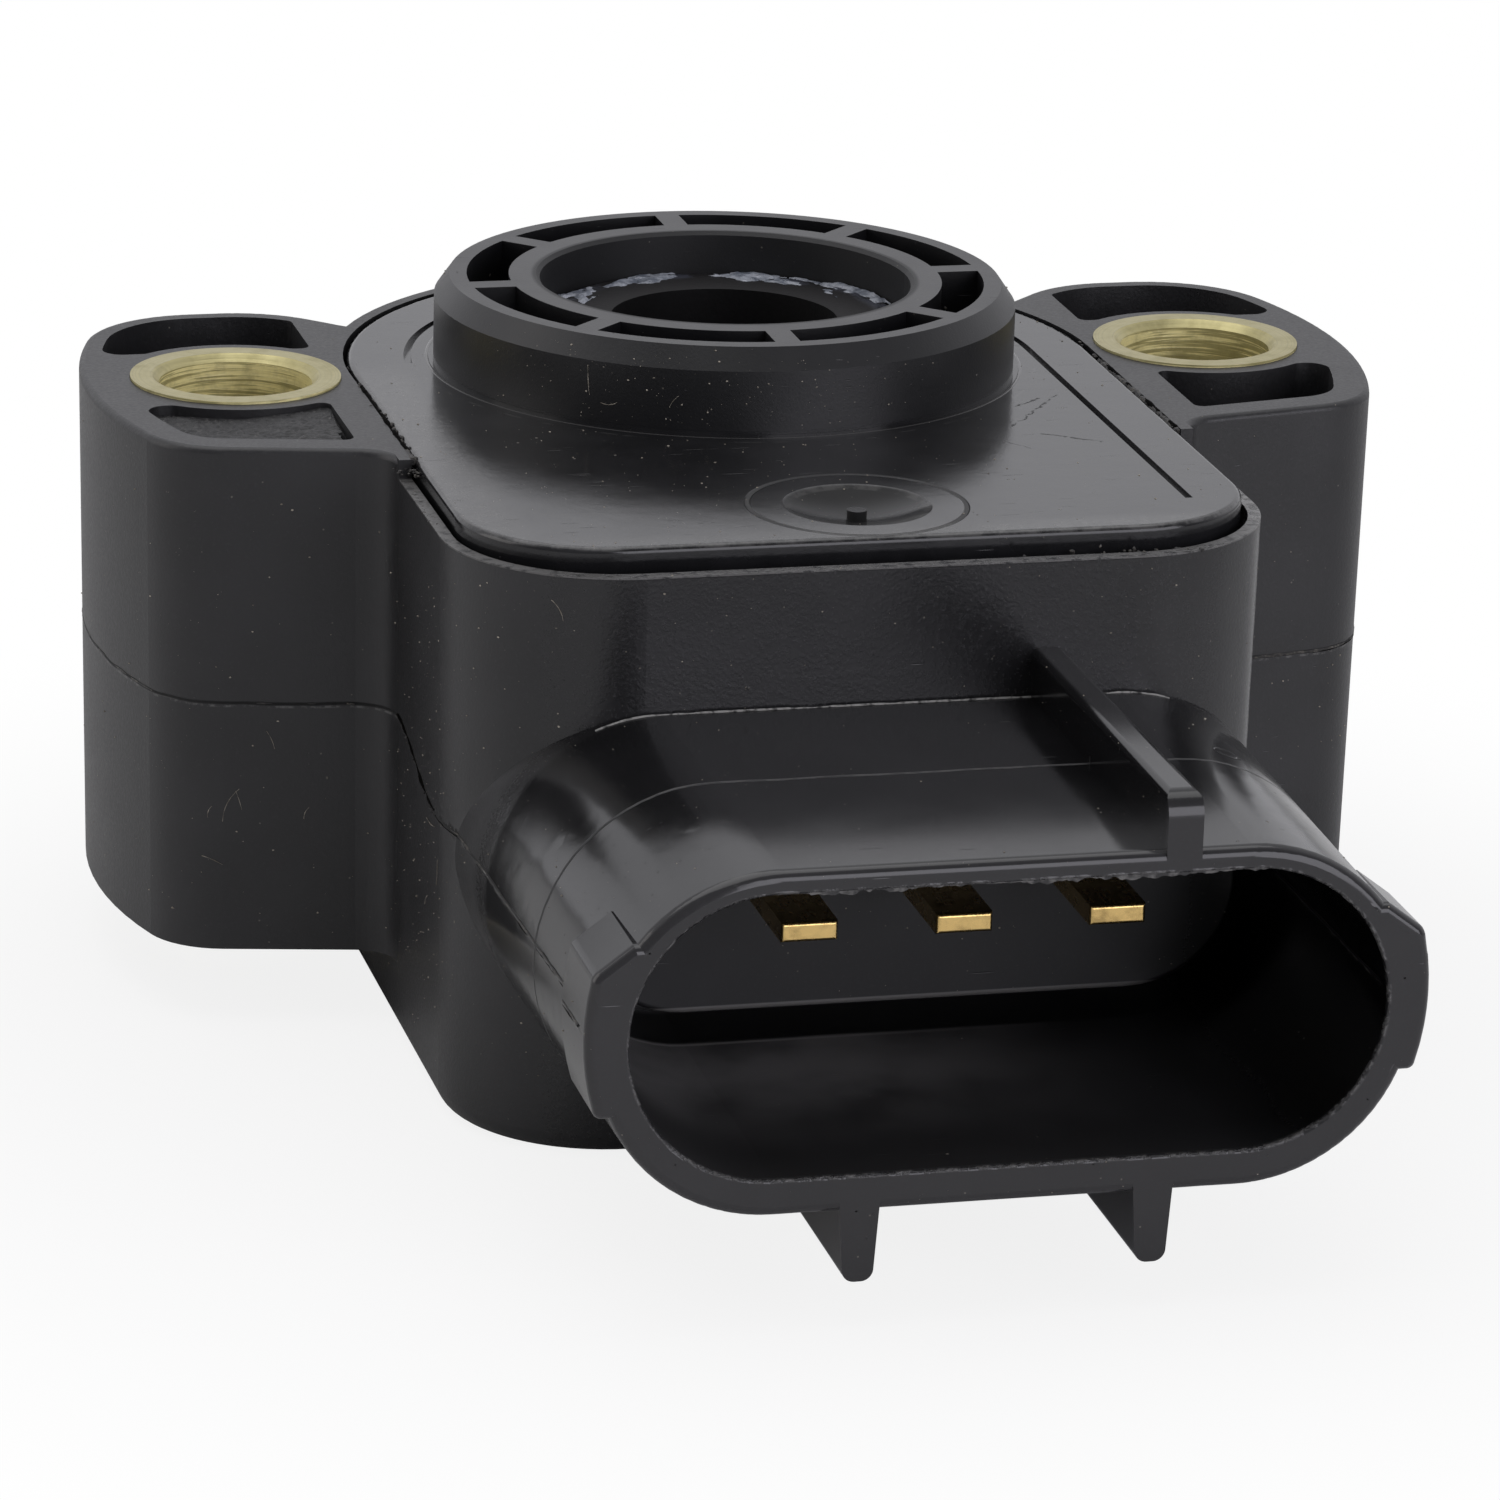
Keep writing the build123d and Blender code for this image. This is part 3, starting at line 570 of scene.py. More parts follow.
class SENSOR_OT_cover(Operator):
    """Semi-gloss black plate and collar with scuffs, a gate mark with painted shade and highlight
    in its dish, a partly painted highlight on the plate's edge, and dust
    """

    bl_idname = "sensor.cover"
    bl_label = "Cover"

    def execute(self, context):
        look = context.scene.sensor_plastic
        f = Finish("cover_moulding")
        base = tuple(look.cover_colour)
        grain = f.noise(9.0, 3.0, 0.6)
        mottle = f.noise(0.3, 4.0, 0.6)
        worn = f.noise(1.3, 4.0, 0.65)

        # Regions: the collar, its bore, the plate and the plate's border.
        radius = (f.x * f.x + f.y * f.y) ** 0.5
        collar = radius.ease(12.1, 11.9) * f.z.ease(-0.05, 0.15)
        inside = radius.ease(7.9, 7.7)
        plate = radius.ease(12.2, 12.6) * f.facing_up.ease(0.8, 0.95)
        left_edge = f.x.ease(-12.4, -13.8) * f.y.ease(2.0, -2.0)
        front_edge = f.y.ease(-24.0, -25.2)
        border = left_edge.most(front_edge) * plate * f.noise(4.0, 4.0, 0.7).ease(0.15, 0.85)

        # The dished gate mark: a ring round two slopes, the far one painted black as shade and the
        # near one painted lighter as a highlight.
        from_gate = (f.x * f.x + (f.y + GATE_OUT) ** 2.0) ** 0.5
        gate = from_gate.band(GATE_RADIUS, 0.07, 0.06)
        shaded_far_slope = from_gate.ease(2.9, 2.7) * f.facing_back.ease(0.1, -0.3)
        lit_near_slope = from_gate.ease(2.9, 2.7) * f.facing_back.ease(0.0, 0.35)

        # Wear and dirt, with a painted highlight on the plate's rounded edge.
        foot = (radius - 12.02).band(0.0, 0.03, 0.05) * f.facing_up.ease(0.2, 0.5)
        trail = (radius - 12.6).band(0.0, 0.03, 0.05) * f.facing_up.ease(0.4, 0.8)
        trail *= worn.ease(0.5, 0.6)
        # A pale ragged line on the plate's rounded upper edge: partly wear, partly painted
        # highlight.
        edge = f.z.band(-0.16, 0.05, 0.04) * f.facing_up.band(0.5, 0.4, 0.1)
        scrape = stroke(f, *SCRAPES[0], worn)
        for ends in SCRAPES[1:]:
            scrape = scrape.most(stroke(f, *ends, worn))
        scrape *= plate
        dust = f.specks(1.2, look.dust_share * 1.2, 0.09)
        lint = f.specks(2.8, look.dust_share * 1.2, 0.14)
        scuff = f.scratches((0.0, 0.0, 0.5), 3.0, 0.12, 0.04)
        scuff = scuff.most(f.scratches((0.4, 0.9, -0.6), 1.8, 0.1, 0.03))

        tint = f.colour(mottle.ease(0.35, 0.7), base, shaded(base, 1.5))
        tint = f.colour(inside.most(collar * 0.8), tint, COLLAR_BLACK)
        tint = f.colour(scuff * 0.25, tint, SCUFF_GREY)
        # Painted shade on the dish's far slope, together with the dark gate ring and scrapes.
        tint = f.colour((gate * 0.8).most(shaded_far_slope).most(scrape * 0.8), tint, LINE_AND_SHADE_BLACK)
        # Painted highlight on the dish's near slope, together with the pale border.
        tint = f.colour(border * 0.8 + lit_near_slope * 0.6, tint, BORDER_AND_HIGHLIGHT_GREY)
        pale = foot * 0.35 + trail * 0.15 + edge * worn.ease(0.4, 0.6) * 0.25
        tint = f.colour(pale.least(1.0), tint, look.worn_and_highlight_colour)
        tint = f.colour((dust + lint * 0.5).least(1.0) * 0.5, tint, look.dust_colour)

        rough = look.cover_rough + collar * 0.22 + inside * 0.2 + shaded_far_slope * 0.65
        rough = rough + scrape * 0.4 + border * 0.12 + (mottle - 0.5) * 0.12
        rough = rough + scuff * 0.15 + dust * 0.3 + (grain - 0.5) * 0.04 + gate * 0.4
        height = grain * (0.12 + collar * 0.15) - gate * 3.0 + foot * 0.8
        height = height - scuff * 0.4 + dust * 1.2 + mottle * 0.5
        material = f.set(tint, rough.least(0.9).most(0.08), f.bump(height, 0.02), IOR=1.5)
        dress(material, "cover")
        return {"FINISHED"}


class SENSOR_OT_sleeves(Operator):
    """Turned brass sleeves, dulled on the faces and ringed in the bore, with the bore's brass
    painted lighter as light
    """

    bl_idname = "sensor.sleeves"
    bl_label = "Bolt sleeves"

    def execute(self, context):
        f = Finish("sleeve_brass")
        brass = tuple(context.scene.sensor_metal.brass)
        side = abs(f.x) - BOLT_X
        radius = (side * side + f.y * f.y) ** 0.5
        rings = f.streaks((0.15, 0.15, 6.0), rough=0.7)
        round_bolt = f.node("ShaderNodeCombineXYZ", {}, {0: radius * 7.0, 1: 0.3, 2: 0.0})
        turned = f.noise(1.0, 3.0, 0.7, round_bolt)
        flat = f.facing_up.ease(0.4, 0.8)
        stain = f.noise(0.9, 4.0, 0.65)
        # The bores get a lighter brass as painted light, where little light reaches inside; the
        # flat faces get a dulled, darker brass.
        tint = f.colour(flat, shaded(brass, 1.5), shaded(brass, 0.72))
        tint = f.colour(stain.ease(0.4, 0.75) * 0.6, tint, STAINED_BRASS)
        tint = f.colour(turned.ease(0.45, 0.7) * flat * 0.45, tint, TURNED_BRASS)
        tint = f.colour(rings.ease(0.48, 0.56) * (1.0 - flat) * 0.7, tint, RINGED_BRASS)
        rough = 0.32 + (stain - 0.5) * 0.2 + flat * 0.06 + (rings - 0.5) * 0.15
        height = rings * (1.0 - flat) * 2.0 + turned * flat * 0.6
        rough = rough.least(0.8).most(0.15)
        material = f.set(tint, rough, f.bump(height, 0.02), Metallic=flat * 0.8 + 0.05)
        dress(material, "left_bush", "right_bush")
        return {"FINISHED"}


class SENSOR_OT_blades(Operator):
    """Gold-coloured connector blades with rolling marks"""

    bl_idname = "sensor.blades"
    bl_label = "Blades"

    def execute(self, context):
        f = Finish("blade_plating")
        gold = tuple(context.scene.sensor_metal.gold)
        rolled = f.streaks((6.0, 0.4, 6.0))
        stain = f.noise(1.4, 3.0, 0.6)
        tint = f.colour(stain.ease(0.4, 0.75), gold, shaded(gold, 0.6))
        rough = 0.26 + (stain - 0.5) * 0.16 + (rolled - 0.5) * 0.1
        material = f.set(tint, rough, f.bump(rolled, 0.008), Metallic=1.0)
        dress(material, "ground_terminal", "signal_terminal", "supply_terminal")
        return {"FINISHED"}


class SENSOR_OT_rotor(Operator):
    """Dark rotor with a film of pale grease on its upper ring"""

    bl_idname = "sensor.rotor"
    bl_label = "Rotor"

    def execute(self, context):
        f = Finish("rotor_moulding")
        base = tuple(context.scene.sensor_plastic.rotor_colour)
        radius = (f.x * f.x + f.y * f.y) ** 0.5
        grain = f.noise(6.0, 3.0, 0.6)
        smear = f.noise(0.55, 4.0, 0.62)
        film = smear.ease(0.46, 0.62) * f.z.ease(0.4, 1.2) * radius.ease(6.2, 6.9)
        tint = f.colour(grain.ease(0.3, 0.8), base, shaded(base, 1.7))
        tint = f.colour(radius.ease(4.8, 4.5) * 0.8, tint, LINE_AND_SHADE_BLACK)
        tint = f.colour(film * 0.2, tint, GREASE_FILM)
        rough = 0.62 + (grain - 0.5) * 0.12 - film * 0.3
        relief = f.bump(grain * 0.4 + film * smear * 4.0, 0.03)
        material = f.set(tint, rough, relief, Specular_IOR_Level=0.2)
        dress(material, "rotor")
        return {"FINISHED"}


class SENSOR_OT_works(Operator):
    """Board, wiper, spring, seal and washer inside the housing"""

    bl_idname = "sensor.works"
    bl_label = "Works inside"

    def execute(self, context):
        steel = tuple(context.scene.sensor_metal.steel)
        self.board()
        stretch = (0.6, 0.6, 9.0)
        spring = self.strip("spring_strip", stretch, steel, shaded(steel, 0.7), 0.25, 0.01)
        dress(spring, "return_spring", "thrust_washer")
        stretch = (8.0, 0.5, 2.0)
        contact = self.strip("contact_strip", stretch, CONTACT, CONTACT_SHADE, 0.24, 0.008)
        dress(contact, "wiper")
        self.seal()
        return {"FINISHED"}

    def board(self):
        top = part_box("element_board")[1].z / MM
        f = Finish("board_ceramic")
        fired = f.noise(5.0, 3.0)
        track = f.z.ease(top - 0.06, top - 0.03)
        tint = f.colour(fired, CERAMIC, CERAMIC_SHADE)
        tint = f.colour(track, tint, TRACK)
        dress(f.set(tint, 0.55 - track * 0.2, f.bump(fired, 0.01)), "element_board")

    def strip(self, name, stretch, first, second, gloss, depth_mm):
        """Rolled sheet metal with marks along the roll."""
        f = Finish(name)
        rolled = f.streaks(stretch)
        tint = f.colour(rolled, first, second)
        return f.set(tint, gloss + rolled * 0.2, f.bump(rolled, depth_mm), Metallic=1.0)

    def seal(self):
        f = Finish("seal_rubber")
        bloom = f.noise(2.0, 4.0)
        tint = f.colour(bloom, RUBBER, RUBBER_BLOOM)
        dress(f.set(tint, 0.5 + bloom * 0.2, f.bump(bloom, 0.015)), "rotor_seal")


class SENSOR_OT_flash(Operator):
    """Thin flash along the parting line of the housing and round the cover's seam, and dark beads
    of painted shade where the parts meet
    """

    bl_idname = "sensor.flash"
    bl_label = "Moulding flash"

    def execute(self, context):
        look = context.scene.sensor_debris
        lines = self.lines(skin("housing"))
        material = self.plastic()
        self.flash(lines, look.flash_size, material)
        self.seam(random.Random(look.seed), material)
        self.gap_shadows(lines)
        return {"FINISHED"}

    def lines(self, tree):
        """Points on the surface where the halves of the mould met."""

        def row(starts, way):
            hits = [cast(tree, start, way)[0] for start in starts]
            return [hit for hit in hits if hit is not None]

        step, left = 0.15, -40.0
        level = -PARTING_DEPTH
        low = level - PARTING_DROP
        slope = []
        for n in range(61):
            part = n / 60.0
            drop = part ** 2 * (3.0 - 2.0 * part)
            y = BEND_START + (BEND_END - BEND_START) * part
            slope.append((left, y, level + (low - level) * drop))
        root = [-11.3 + 0.12 * n for n in range(185)]
        return {
            "end": row([(left, 9.0 - step * n, level) for n in range(120)], RIGHTWARD),
            "front": row([(-25.0 + step * n, -FAR, level) for n in range(53)], AHEAD),
            "wall": row(slope, RIGHTWARD),
            "flank": row([(left, BEND_END - step * n, low) for n in range(160)], RIGHTWARD),
            "right": row([(17.8 + step * n, -FAR, level) for n in range(55)], AHEAD),
            "root": row([(x, ROOT_Y, 0.0) for x in root if not 5.2 < x < 8.2], DOWN),
        }

    def plastic(self):
        f = Finish("flash_plastic")
        torn = f.noise(4.0, 3.0)
        # Painted highlight: the bead at the shroud's root is painted pale except on its underside.
        pale = f.y.band(ROOT_Y, 0.3, 0.1) * f.facing_up.ease(-0.6, -0.2)
        tint = f.colour(torn.ease(0.45, 0.7), (0.016, 0.015, 0.015), (0.10, 0.092, 0.08))
        tint = f.colour(pale * torn.ease(0.3, 0.55), tint, (0.3, 0.295, 0.285))
        return f.set(tint, 0.5 + torn * 0.2, f.bump(torn, 0.02))

    def flash(self, lines, size, material):
        """Fine beads of plastic that was squeezed out between the halves of the mould."""
        shape = bmesh.new()
        for name, share in FLASH_SHARES.items():
            spots = []
            for place in lines[name]:
                thick = size * (share - 0.4 + 0.9 * wobble(place, 0.0009, 1.0))
                spots.append((place, min(thick, size * 1.2)))
            broken_bead(shape, spots, 0.00001, 5)
        for place in lines["wall"][::3]:
            if wobble(place, 0.0011, 4.0) > 0.1:
                crumb(shape, place + Vector((-0.00002, 0.0, -0.00012)), 0.00005)
        add_piece("parting_flash", shape, material)

    def seam(self, spots, material):
        """Ragged filling where the cover meets the ears, and chips beside it."""
        shape = bmesh.new()
        pitch = 0.1
        rows = ((1, -12.9, -2.0, 0.00008), (-1, -5.6, -2.0, 0.0), (-1, -12.9, -10.6, 0.00008))
        for side, first, last, lift in rows:
            path, sizes = [], []
            for n in range(int((last - first) / pitch) + 1):
                place = Vector((side * SEAM_X, (first + pitch * n) * MM, -0.00030 + lift))
                rough = wobble(place, 0.0006, 2.0)
                path.append(place + Vector((side * 0.00004 * rough, 0.0, 0.00007 * rough)))
                sizes.append(0.00013 + 0.00004 * wobble(place, 0.0004, 5.0))
            bead(shape, path, sizes, 8)
        for _ in range(46):  # along both seams
            side = spots.choice((1, 1, -1))
            y = spots.uniform(-13.0, 1.0) * MM
            size = spots.uniform(0.00004, 0.00011)
            x = side * (SEAM_X + spots.uniform(-0.0001, 0.00012))
            crumb(shape, Vector((x, y, FACE_Z - size)), size)
        for _ in range(30):  # in the front gap, mostly on the right
            x = spots.triangular(4.0, 13.0, 11.0) * MM
            size = spots.uniform(0.00005, 0.00012)
            y = spots.uniform(-26.9, -26.2) * MM
            crumb(shape, Vector((x, y, RIM_Z - spots.uniform(0.0, 0.0003))), size)
        for _ in range(60):  # more along the left seam
            x = -SEAM_X + spots.gauss(0.0, 0.0001)
            y = spots.uniform(-12.9, -1.0) * MM
            place = Vector((x, y, FACE_Z - spots.uniform(0.00002, 0.00012)))
            crumb(shape, place, spots.uniform(0.00004, 0.0001))
        for _ in range(60):  # in the notch in front of the left ear
            x = spots.gauss(-15.3, 0.25) * MM
            y = spots.gauss(-13.2, 0.3) * MM
            place = Vector((x, y, FACE_Z - spots.uniform(0.0003, 0.0006)))
            crumb(shape, place, spots.uniform(0.00003, 0.00009), 0.6)
        for _ in range(50):  # along the left edge of the rim
            x = spots.gauss(-15.72, 0.07) * MM
            place = Vector((x, spots.uniform(-20.0, -13.6) * MM, RIM_Z - 0.00003))
            if wobble(place, 0.0016, 3.0) > -0.1:
                crumb(shape, place, spots.uniform(0.00004, 0.0001), 0.6)
        add_piece("seam_filling", shape, material)

    def gap_shadows(self, lines):
        """Dark, uneven beads along the parting line and between the cover and the ears: painted
        shade in the narrow openings there.
        """
        shape = bmesh.new()
        left = [(-SEAM_X, (-11.6 + 0.1 * n) * MM, FACE_Z - 0.00004) for n in range(95)]
        right = [(SEAM_X, (-12.6 + 0.1 * n) * MM, FACE_Z - 0.00005) for n in range(110)]
        under = [place - rise(0.00011) for place in lines["flank"]]
        ear = [place - rise(0.00006) for place in lines["right"][30:]]
        runs = (
            (lines["wall"], 0.00006, 0.00007),
            ([Vector(place) for place in left], 0.00009, 0.00008),
            ([Vector(place) for place in right], 0.00006, 0.00009),
            (under, 0.00002, 0.00003),
            (ear, 0.00003, 0.00003),
        )
        for path, size, spread in runs:
            spots = []
            for place in path:
                thick = size + spread * wobble(place, 0.0013, 6.0)
                spots.append((place + rise(0.00003 * wobble(place, 0.0005, 9.0)), thick))
            broken_bead(shape, spots, 0.000012, 6)
        # Painted shade: a near-black finish with almost no gloss for the beads.
        f = Finish("gap_shadow")
        tint = f.colour(f.noise(3.0, 2.0), SHADE_BLACK, (0.004, 0.0035, 0.003))
        material = f.set(tint, 0.95, Specular_IOR_Level=0.05)
        add_piece("parting_gap_shadows", shape, material)


class SENSOR_OT_tear(Operator):
    """Rough torn plastic that fills the left ear's front pocket"""

    bl_idname = "sensor.tear"
    bl_label = "Torn pocket"

    def execute(self, context):
        depth = context.scene.sensor_debris.tear_depth
        rim = self.rim()
        flat = [Vector((p.x, p.y)) for p in rim + self.grid(rim)]
        edges = [(n, (n + 1) % len(rim)) for n in range(len(rim))]
        verts, _, faces, *_ = delaunay_2d_cdt(flat, edges, [], 1, 1e-9)
        shape = bmesh.new()
        made = [shape.verts.new((v.x, v.y, self.height(v, rim, depth))) for v in verts]
        for face in faces:
            shape.faces.new([made[n] for n in face])
        f = Finish("torn_plastic")
        grit = f.noise(5.0, 4.0, 0.7)
        fibre = f.noise(2.0, 3.0, 0.6)
        tint = f.colour(grit.ease(0.52, 0.72), (0.012, 0.0118, 0.0125), (0.085, 0.082, 0.08))
        material = f.set(tint, 0.5 + fibre * 0.2, f.bump(grit + fibre * 2.0, 0.04))
        add_piece("torn_floor", shape, material)
        return {"FINISHED"}

    def rim(self):
        """Outline of the pocket's floor, in order."""
        mesh = NODES["housing"].data
        low, high = TEAR_FLOOR
        count = {}
        for face in mesh.polygons:
            if face.normal.z > 0.99 and face.center.x < 0.0 and low < face.center.z < high:
                for pair in face.edge_keys:
                    places = [mesh.vertices[n].co for n in pair]
                    key = tuple(sorted((round(p.x, 7), round(p.y, 7)) for p in places))
                    count[key] = count.get(key, 0) + 1
        border = {}
        for (first, second), times in count.items():
            if times == 1:
                border.setdefault(first, []).append(second)
                border.setdefault(second, []).append(first)
        start = min(border)
        path, last = [start], None
        while True:
            step = [p for p in border[path[-1]] if p != last][0]
            last = path[-1]
            if step == start:
                return [Vector((*p, 0.0)) for p in path]
            path.append(step)

    def grid(self, rim):
        """Uneven points inside the outline."""
        low = [min(p[axis] for p in rim) for axis in (0, 1)]
        high = [max(p[axis] for p in rim) for axis in (0, 1)]
        step, margin = 0.00011, 0.00006
        points = []
        for a in range(int((high[0] - low[0]) / step)):
            for b in range(int((high[1] - low[1]) / step)):
                point = Vector((low[0] + a * step, low[1] + b * step, 0.0))
                shift = Vector((wobble(point, 0.0001, 1.0), wobble(point, 0.0001, 2.0), 0.0))
                point += shift * step * 0.3
                if self.inside(point, rim) and self.near(point, rim) > margin:
                    points.append(point)
        return points

    @staticmethod
    def inside(point, rim):
        """Whether a point is within the outline."""
        hit = False
        for a, b in zip(rim, rim[1:] + rim[:1]):
            if (a.y > point.y) != (b.y > point.y):
                if point.x < a.x + (b.x - a.x) * (point.y - a.y) / (b.y - a.y):
                    hit = not hit
        return hit

    @staticmethod
    def near(point, rim):
        """Distance from a point to the outline."""
        found = 1.0
        for a, b in zip(rim, rim[1:] + rim[:1]):
            along = b - a
            part = unit((point - a).dot(along) / along.length_squared)
            found = min(found, (point - a - along * part).length)
        return found

    def height(self, place, rim, depth):
        """Level of the torn plastic, with a flap that stands up in the front right corner."""
        point = Vector((place.x, place.y, 0.0))
        x, y = place.x / MM, place.y / MM
        rough = wobble(point, 0.0007, 3.0) * 0.00007 + wobble(point, 0.00022, 6.0) * 0.00004
        level = FACE_Z - depth + rough + unit((x + 21.5) / 3.0) * 0.00016
        flap = unit((x + 19.2) / 0.5)
        if flap > 0.0 and y < -8.2 + 0.25 * wobble(point, 0.0008, 8.0):
            level += 0.0001 * flap if self.near(point, rim) > 0.00032 else -0.0003 * flap
        return min(level, FACE_Z - 0.00003)


class SENSOR_OT_mouth(Operator):
    """Ragged flash that hangs from the upper edge of the connector's mouth"""

    bl_idname = "sensor.mouth"
    bl_label = "Mouth flash"

    def execute(self, context):
        shape = bmesh.new()
        y = HOUSING_LOW.y + 0.00012
        thick, bite = 0.00012, 0.00003
        first, width, count = -9.3, 18.9, 260
        rows = []
        for n in range(count + 1):
            x = (first + width * n / count) * MM
            place = Vector((x, y, MOUTH_TOP))
            hang = 0.00007 + 0.00012 * wobble(place, 0.0011, 1.0)
            hang = max(hang + 0.00009 * wobble(place, 0.0003, 2.0), 0.000015)
            out = 0.00003 * wobble(place, 0.0005, 3.0)
            corners = (
                (x, y, MOUTH_TOP + bite),
                (x, y + out, MOUTH_TOP - hang),
                (x, y + out + 0.00005, MOUTH_TOP - hang * 0.9),
                (x, y + thick, MOUTH_TOP + bite),
            )
            rows.append([shape.verts.new(corner) for corner in corners])
        tube(shape, rows)
        f = Finish("mouth_flash")
        torn = f.noise(3.0, 3.0)
        tint = f.colour(torn.ease(0.4, 0.7), (0.02, 0.0195, 0.02), (0.13, 0.126, 0.122))
        material = f.set(tint, 0.5 + torn * 0.2, f.bump(torn, 0.02))
        add_piece("mouth_flash", shape, material)
        return {"FINISHED"}


class SENSOR_OT_grease(Operator):
    """Bluish smears of grease on the rotor's upper ring"""

    bl_idname = "sensor.grease"
    bl_label = "Grease"

    def execute(self, context):
        thick = context.scene.sensor_debris.grease_height
        inner, outer = 5.9, 7.4
        turns, rings = 420, 26
        top = rise(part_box("rotor")[1].z)
        grid = {}
        for a in range(turns):
            angle = 2.0 * math.pi * a / turns
            for b in range(rings):
                part = b / (rings - 1)
                radius = (inner + (outer - inner) * part) * MM
                place = Vector((radius * math.cos(angle), radius * math.sin(angle), 0.0))
                streak = Vector((angle * 0.0042, radius * 1.6, 0.0))
                swell = wobble(streak, 0.0014, 2.0) * 0.55 + wobble(place, 0.0005, 5.0) * 0.22
                swell -= 0.3 * (1.0 - part) ** 2 - 0.04 + 0.5 * max(0.0, 0.2 - math.sin(angle))
                grid[a, b] = (place + top, swell)
        shape = bmesh.new()
        kept = {}

        def vert(corner):
            if corner not in kept:
                place, swell = grid[corner]
                kept[corner] = shape.verts.new(place + rise(min(swell, 0.5) * thick))
            return kept[corner]

        for a in range(turns):
            beside = (a + 1) % turns
            for b in range(rings - 1):
                corners = [(a, b), (beside, b), (beside, b + 1), (a, b + 1)]
                if max(grid[corner][1] for corner in corners) > 0.0:
                    shape.faces.new([vert(corner) for corner in corners])
        f = Finish("grease")
        body = f.noise(1.6, 3.0)
        tint = f.colour(body.ease(0.35, 0.65), (0.12, 0.135, 0.17), (0.36, 0.38, 0.43))
        material = f.set(tint, 0.28 + body * 0.2, f.bump(f.noise(5.0, 3.0), 0.02))
        add_piece("grease_smear", shape, material, "rotor_body")
        return {"FINISHED"}


class SENSOR_OT_dust(Operator):
    """Dust grains and short fibres that cling to the mouldings"""

    bl_idname = "sensor.dust"
    bl_label = "Dust and lint"

    def execute(self, context):
        look = context.scene.sensor_debris
        spots = random.Random(look.seed)
        within = spots.uniform
        housing, cover = skin("housing"), skin("cover")
        shape = bmesh.new()
        above = 30.0

        def collar():
            return (spots.triangular(-11.5, 9, -8), -FAR, within(0.2, 3.0))

        # Each shower of dust: what it falls on, where a grain starts, its way and its share.
        showers = (
            (cover, lambda: (within(-15, 15), within(-26, 8), above), DOWN, 0.2),
            (cover, collar, AHEAD, 0.07),
            (housing, lambda: (within(-26, 26), within(-45, 10), above), DOWN, 0.16),
            (housing, lambda: (within(-26, 26), -FAR, within(-21, -1)), AHEAD, 0.24),
            (housing, lambda: (-FAR, within(-44, 10), within(-22, -1)), RIGHTWARD, 0.16),
            (housing, lambda: (-FAR, within(-24, -12), within(-20, -3)), RIGHTWARD, 0.12),
        )
        for tree, start, way, share in showers:
            for _ in range(int(look.grain_count * share)):
                place, normal = cast(tree, start(), way)
                if place is not None and normal.dot(Vector(way)) < -0.2:
                    crumb(shape, place, 0.000012 + 0.000042 * spots.random() ** 4, 0.7)
        for x, y, z, way, length, turn in LINT:
            place, normal = cast(cover if z > -0.9 else housing, (x, y, z), way)
            if place is not None:
                self.fibre(shape, place, normal, length * MM, turn)
        f = Finish("dust")
        shade = f.noise(3.0, 2.0).ease(0.3, 0.7)
        tint = f.colour(shade, (0.16, 0.14, 0.11), (0.42, 0.38, 0.32))
        material = f.set(tint, 0.8, f.bump(f.noise(12.0, 2.0), 0.01))
        add_piece("dust_and_lint", shape, material)
        return {"FINISHED"}

    def fibre(self, shape, place, normal, length, turn):
        """One short curved fibre lying on the surface."""
        along = normal.orthogonal().normalized()
        along.rotate(Matrix.Rotation(turn, 3, normal))
        across = normal.cross(along)
        path, sizes = [], []
        for n in range(FIBRE_STEPS + 1):
            part = n / FIBRE_STEPS - 0.5
            bend = 0.5 * length * (part * part - 0.25) * math.sin(3.0 * turn)
            path.append(place + along * length * part + across * bend + normal * 0.00002)
            sizes.append(0.000010 + 0.000005 * math.sin(5.0 * n + turn))
        bead(shape, path, sizes, 5)


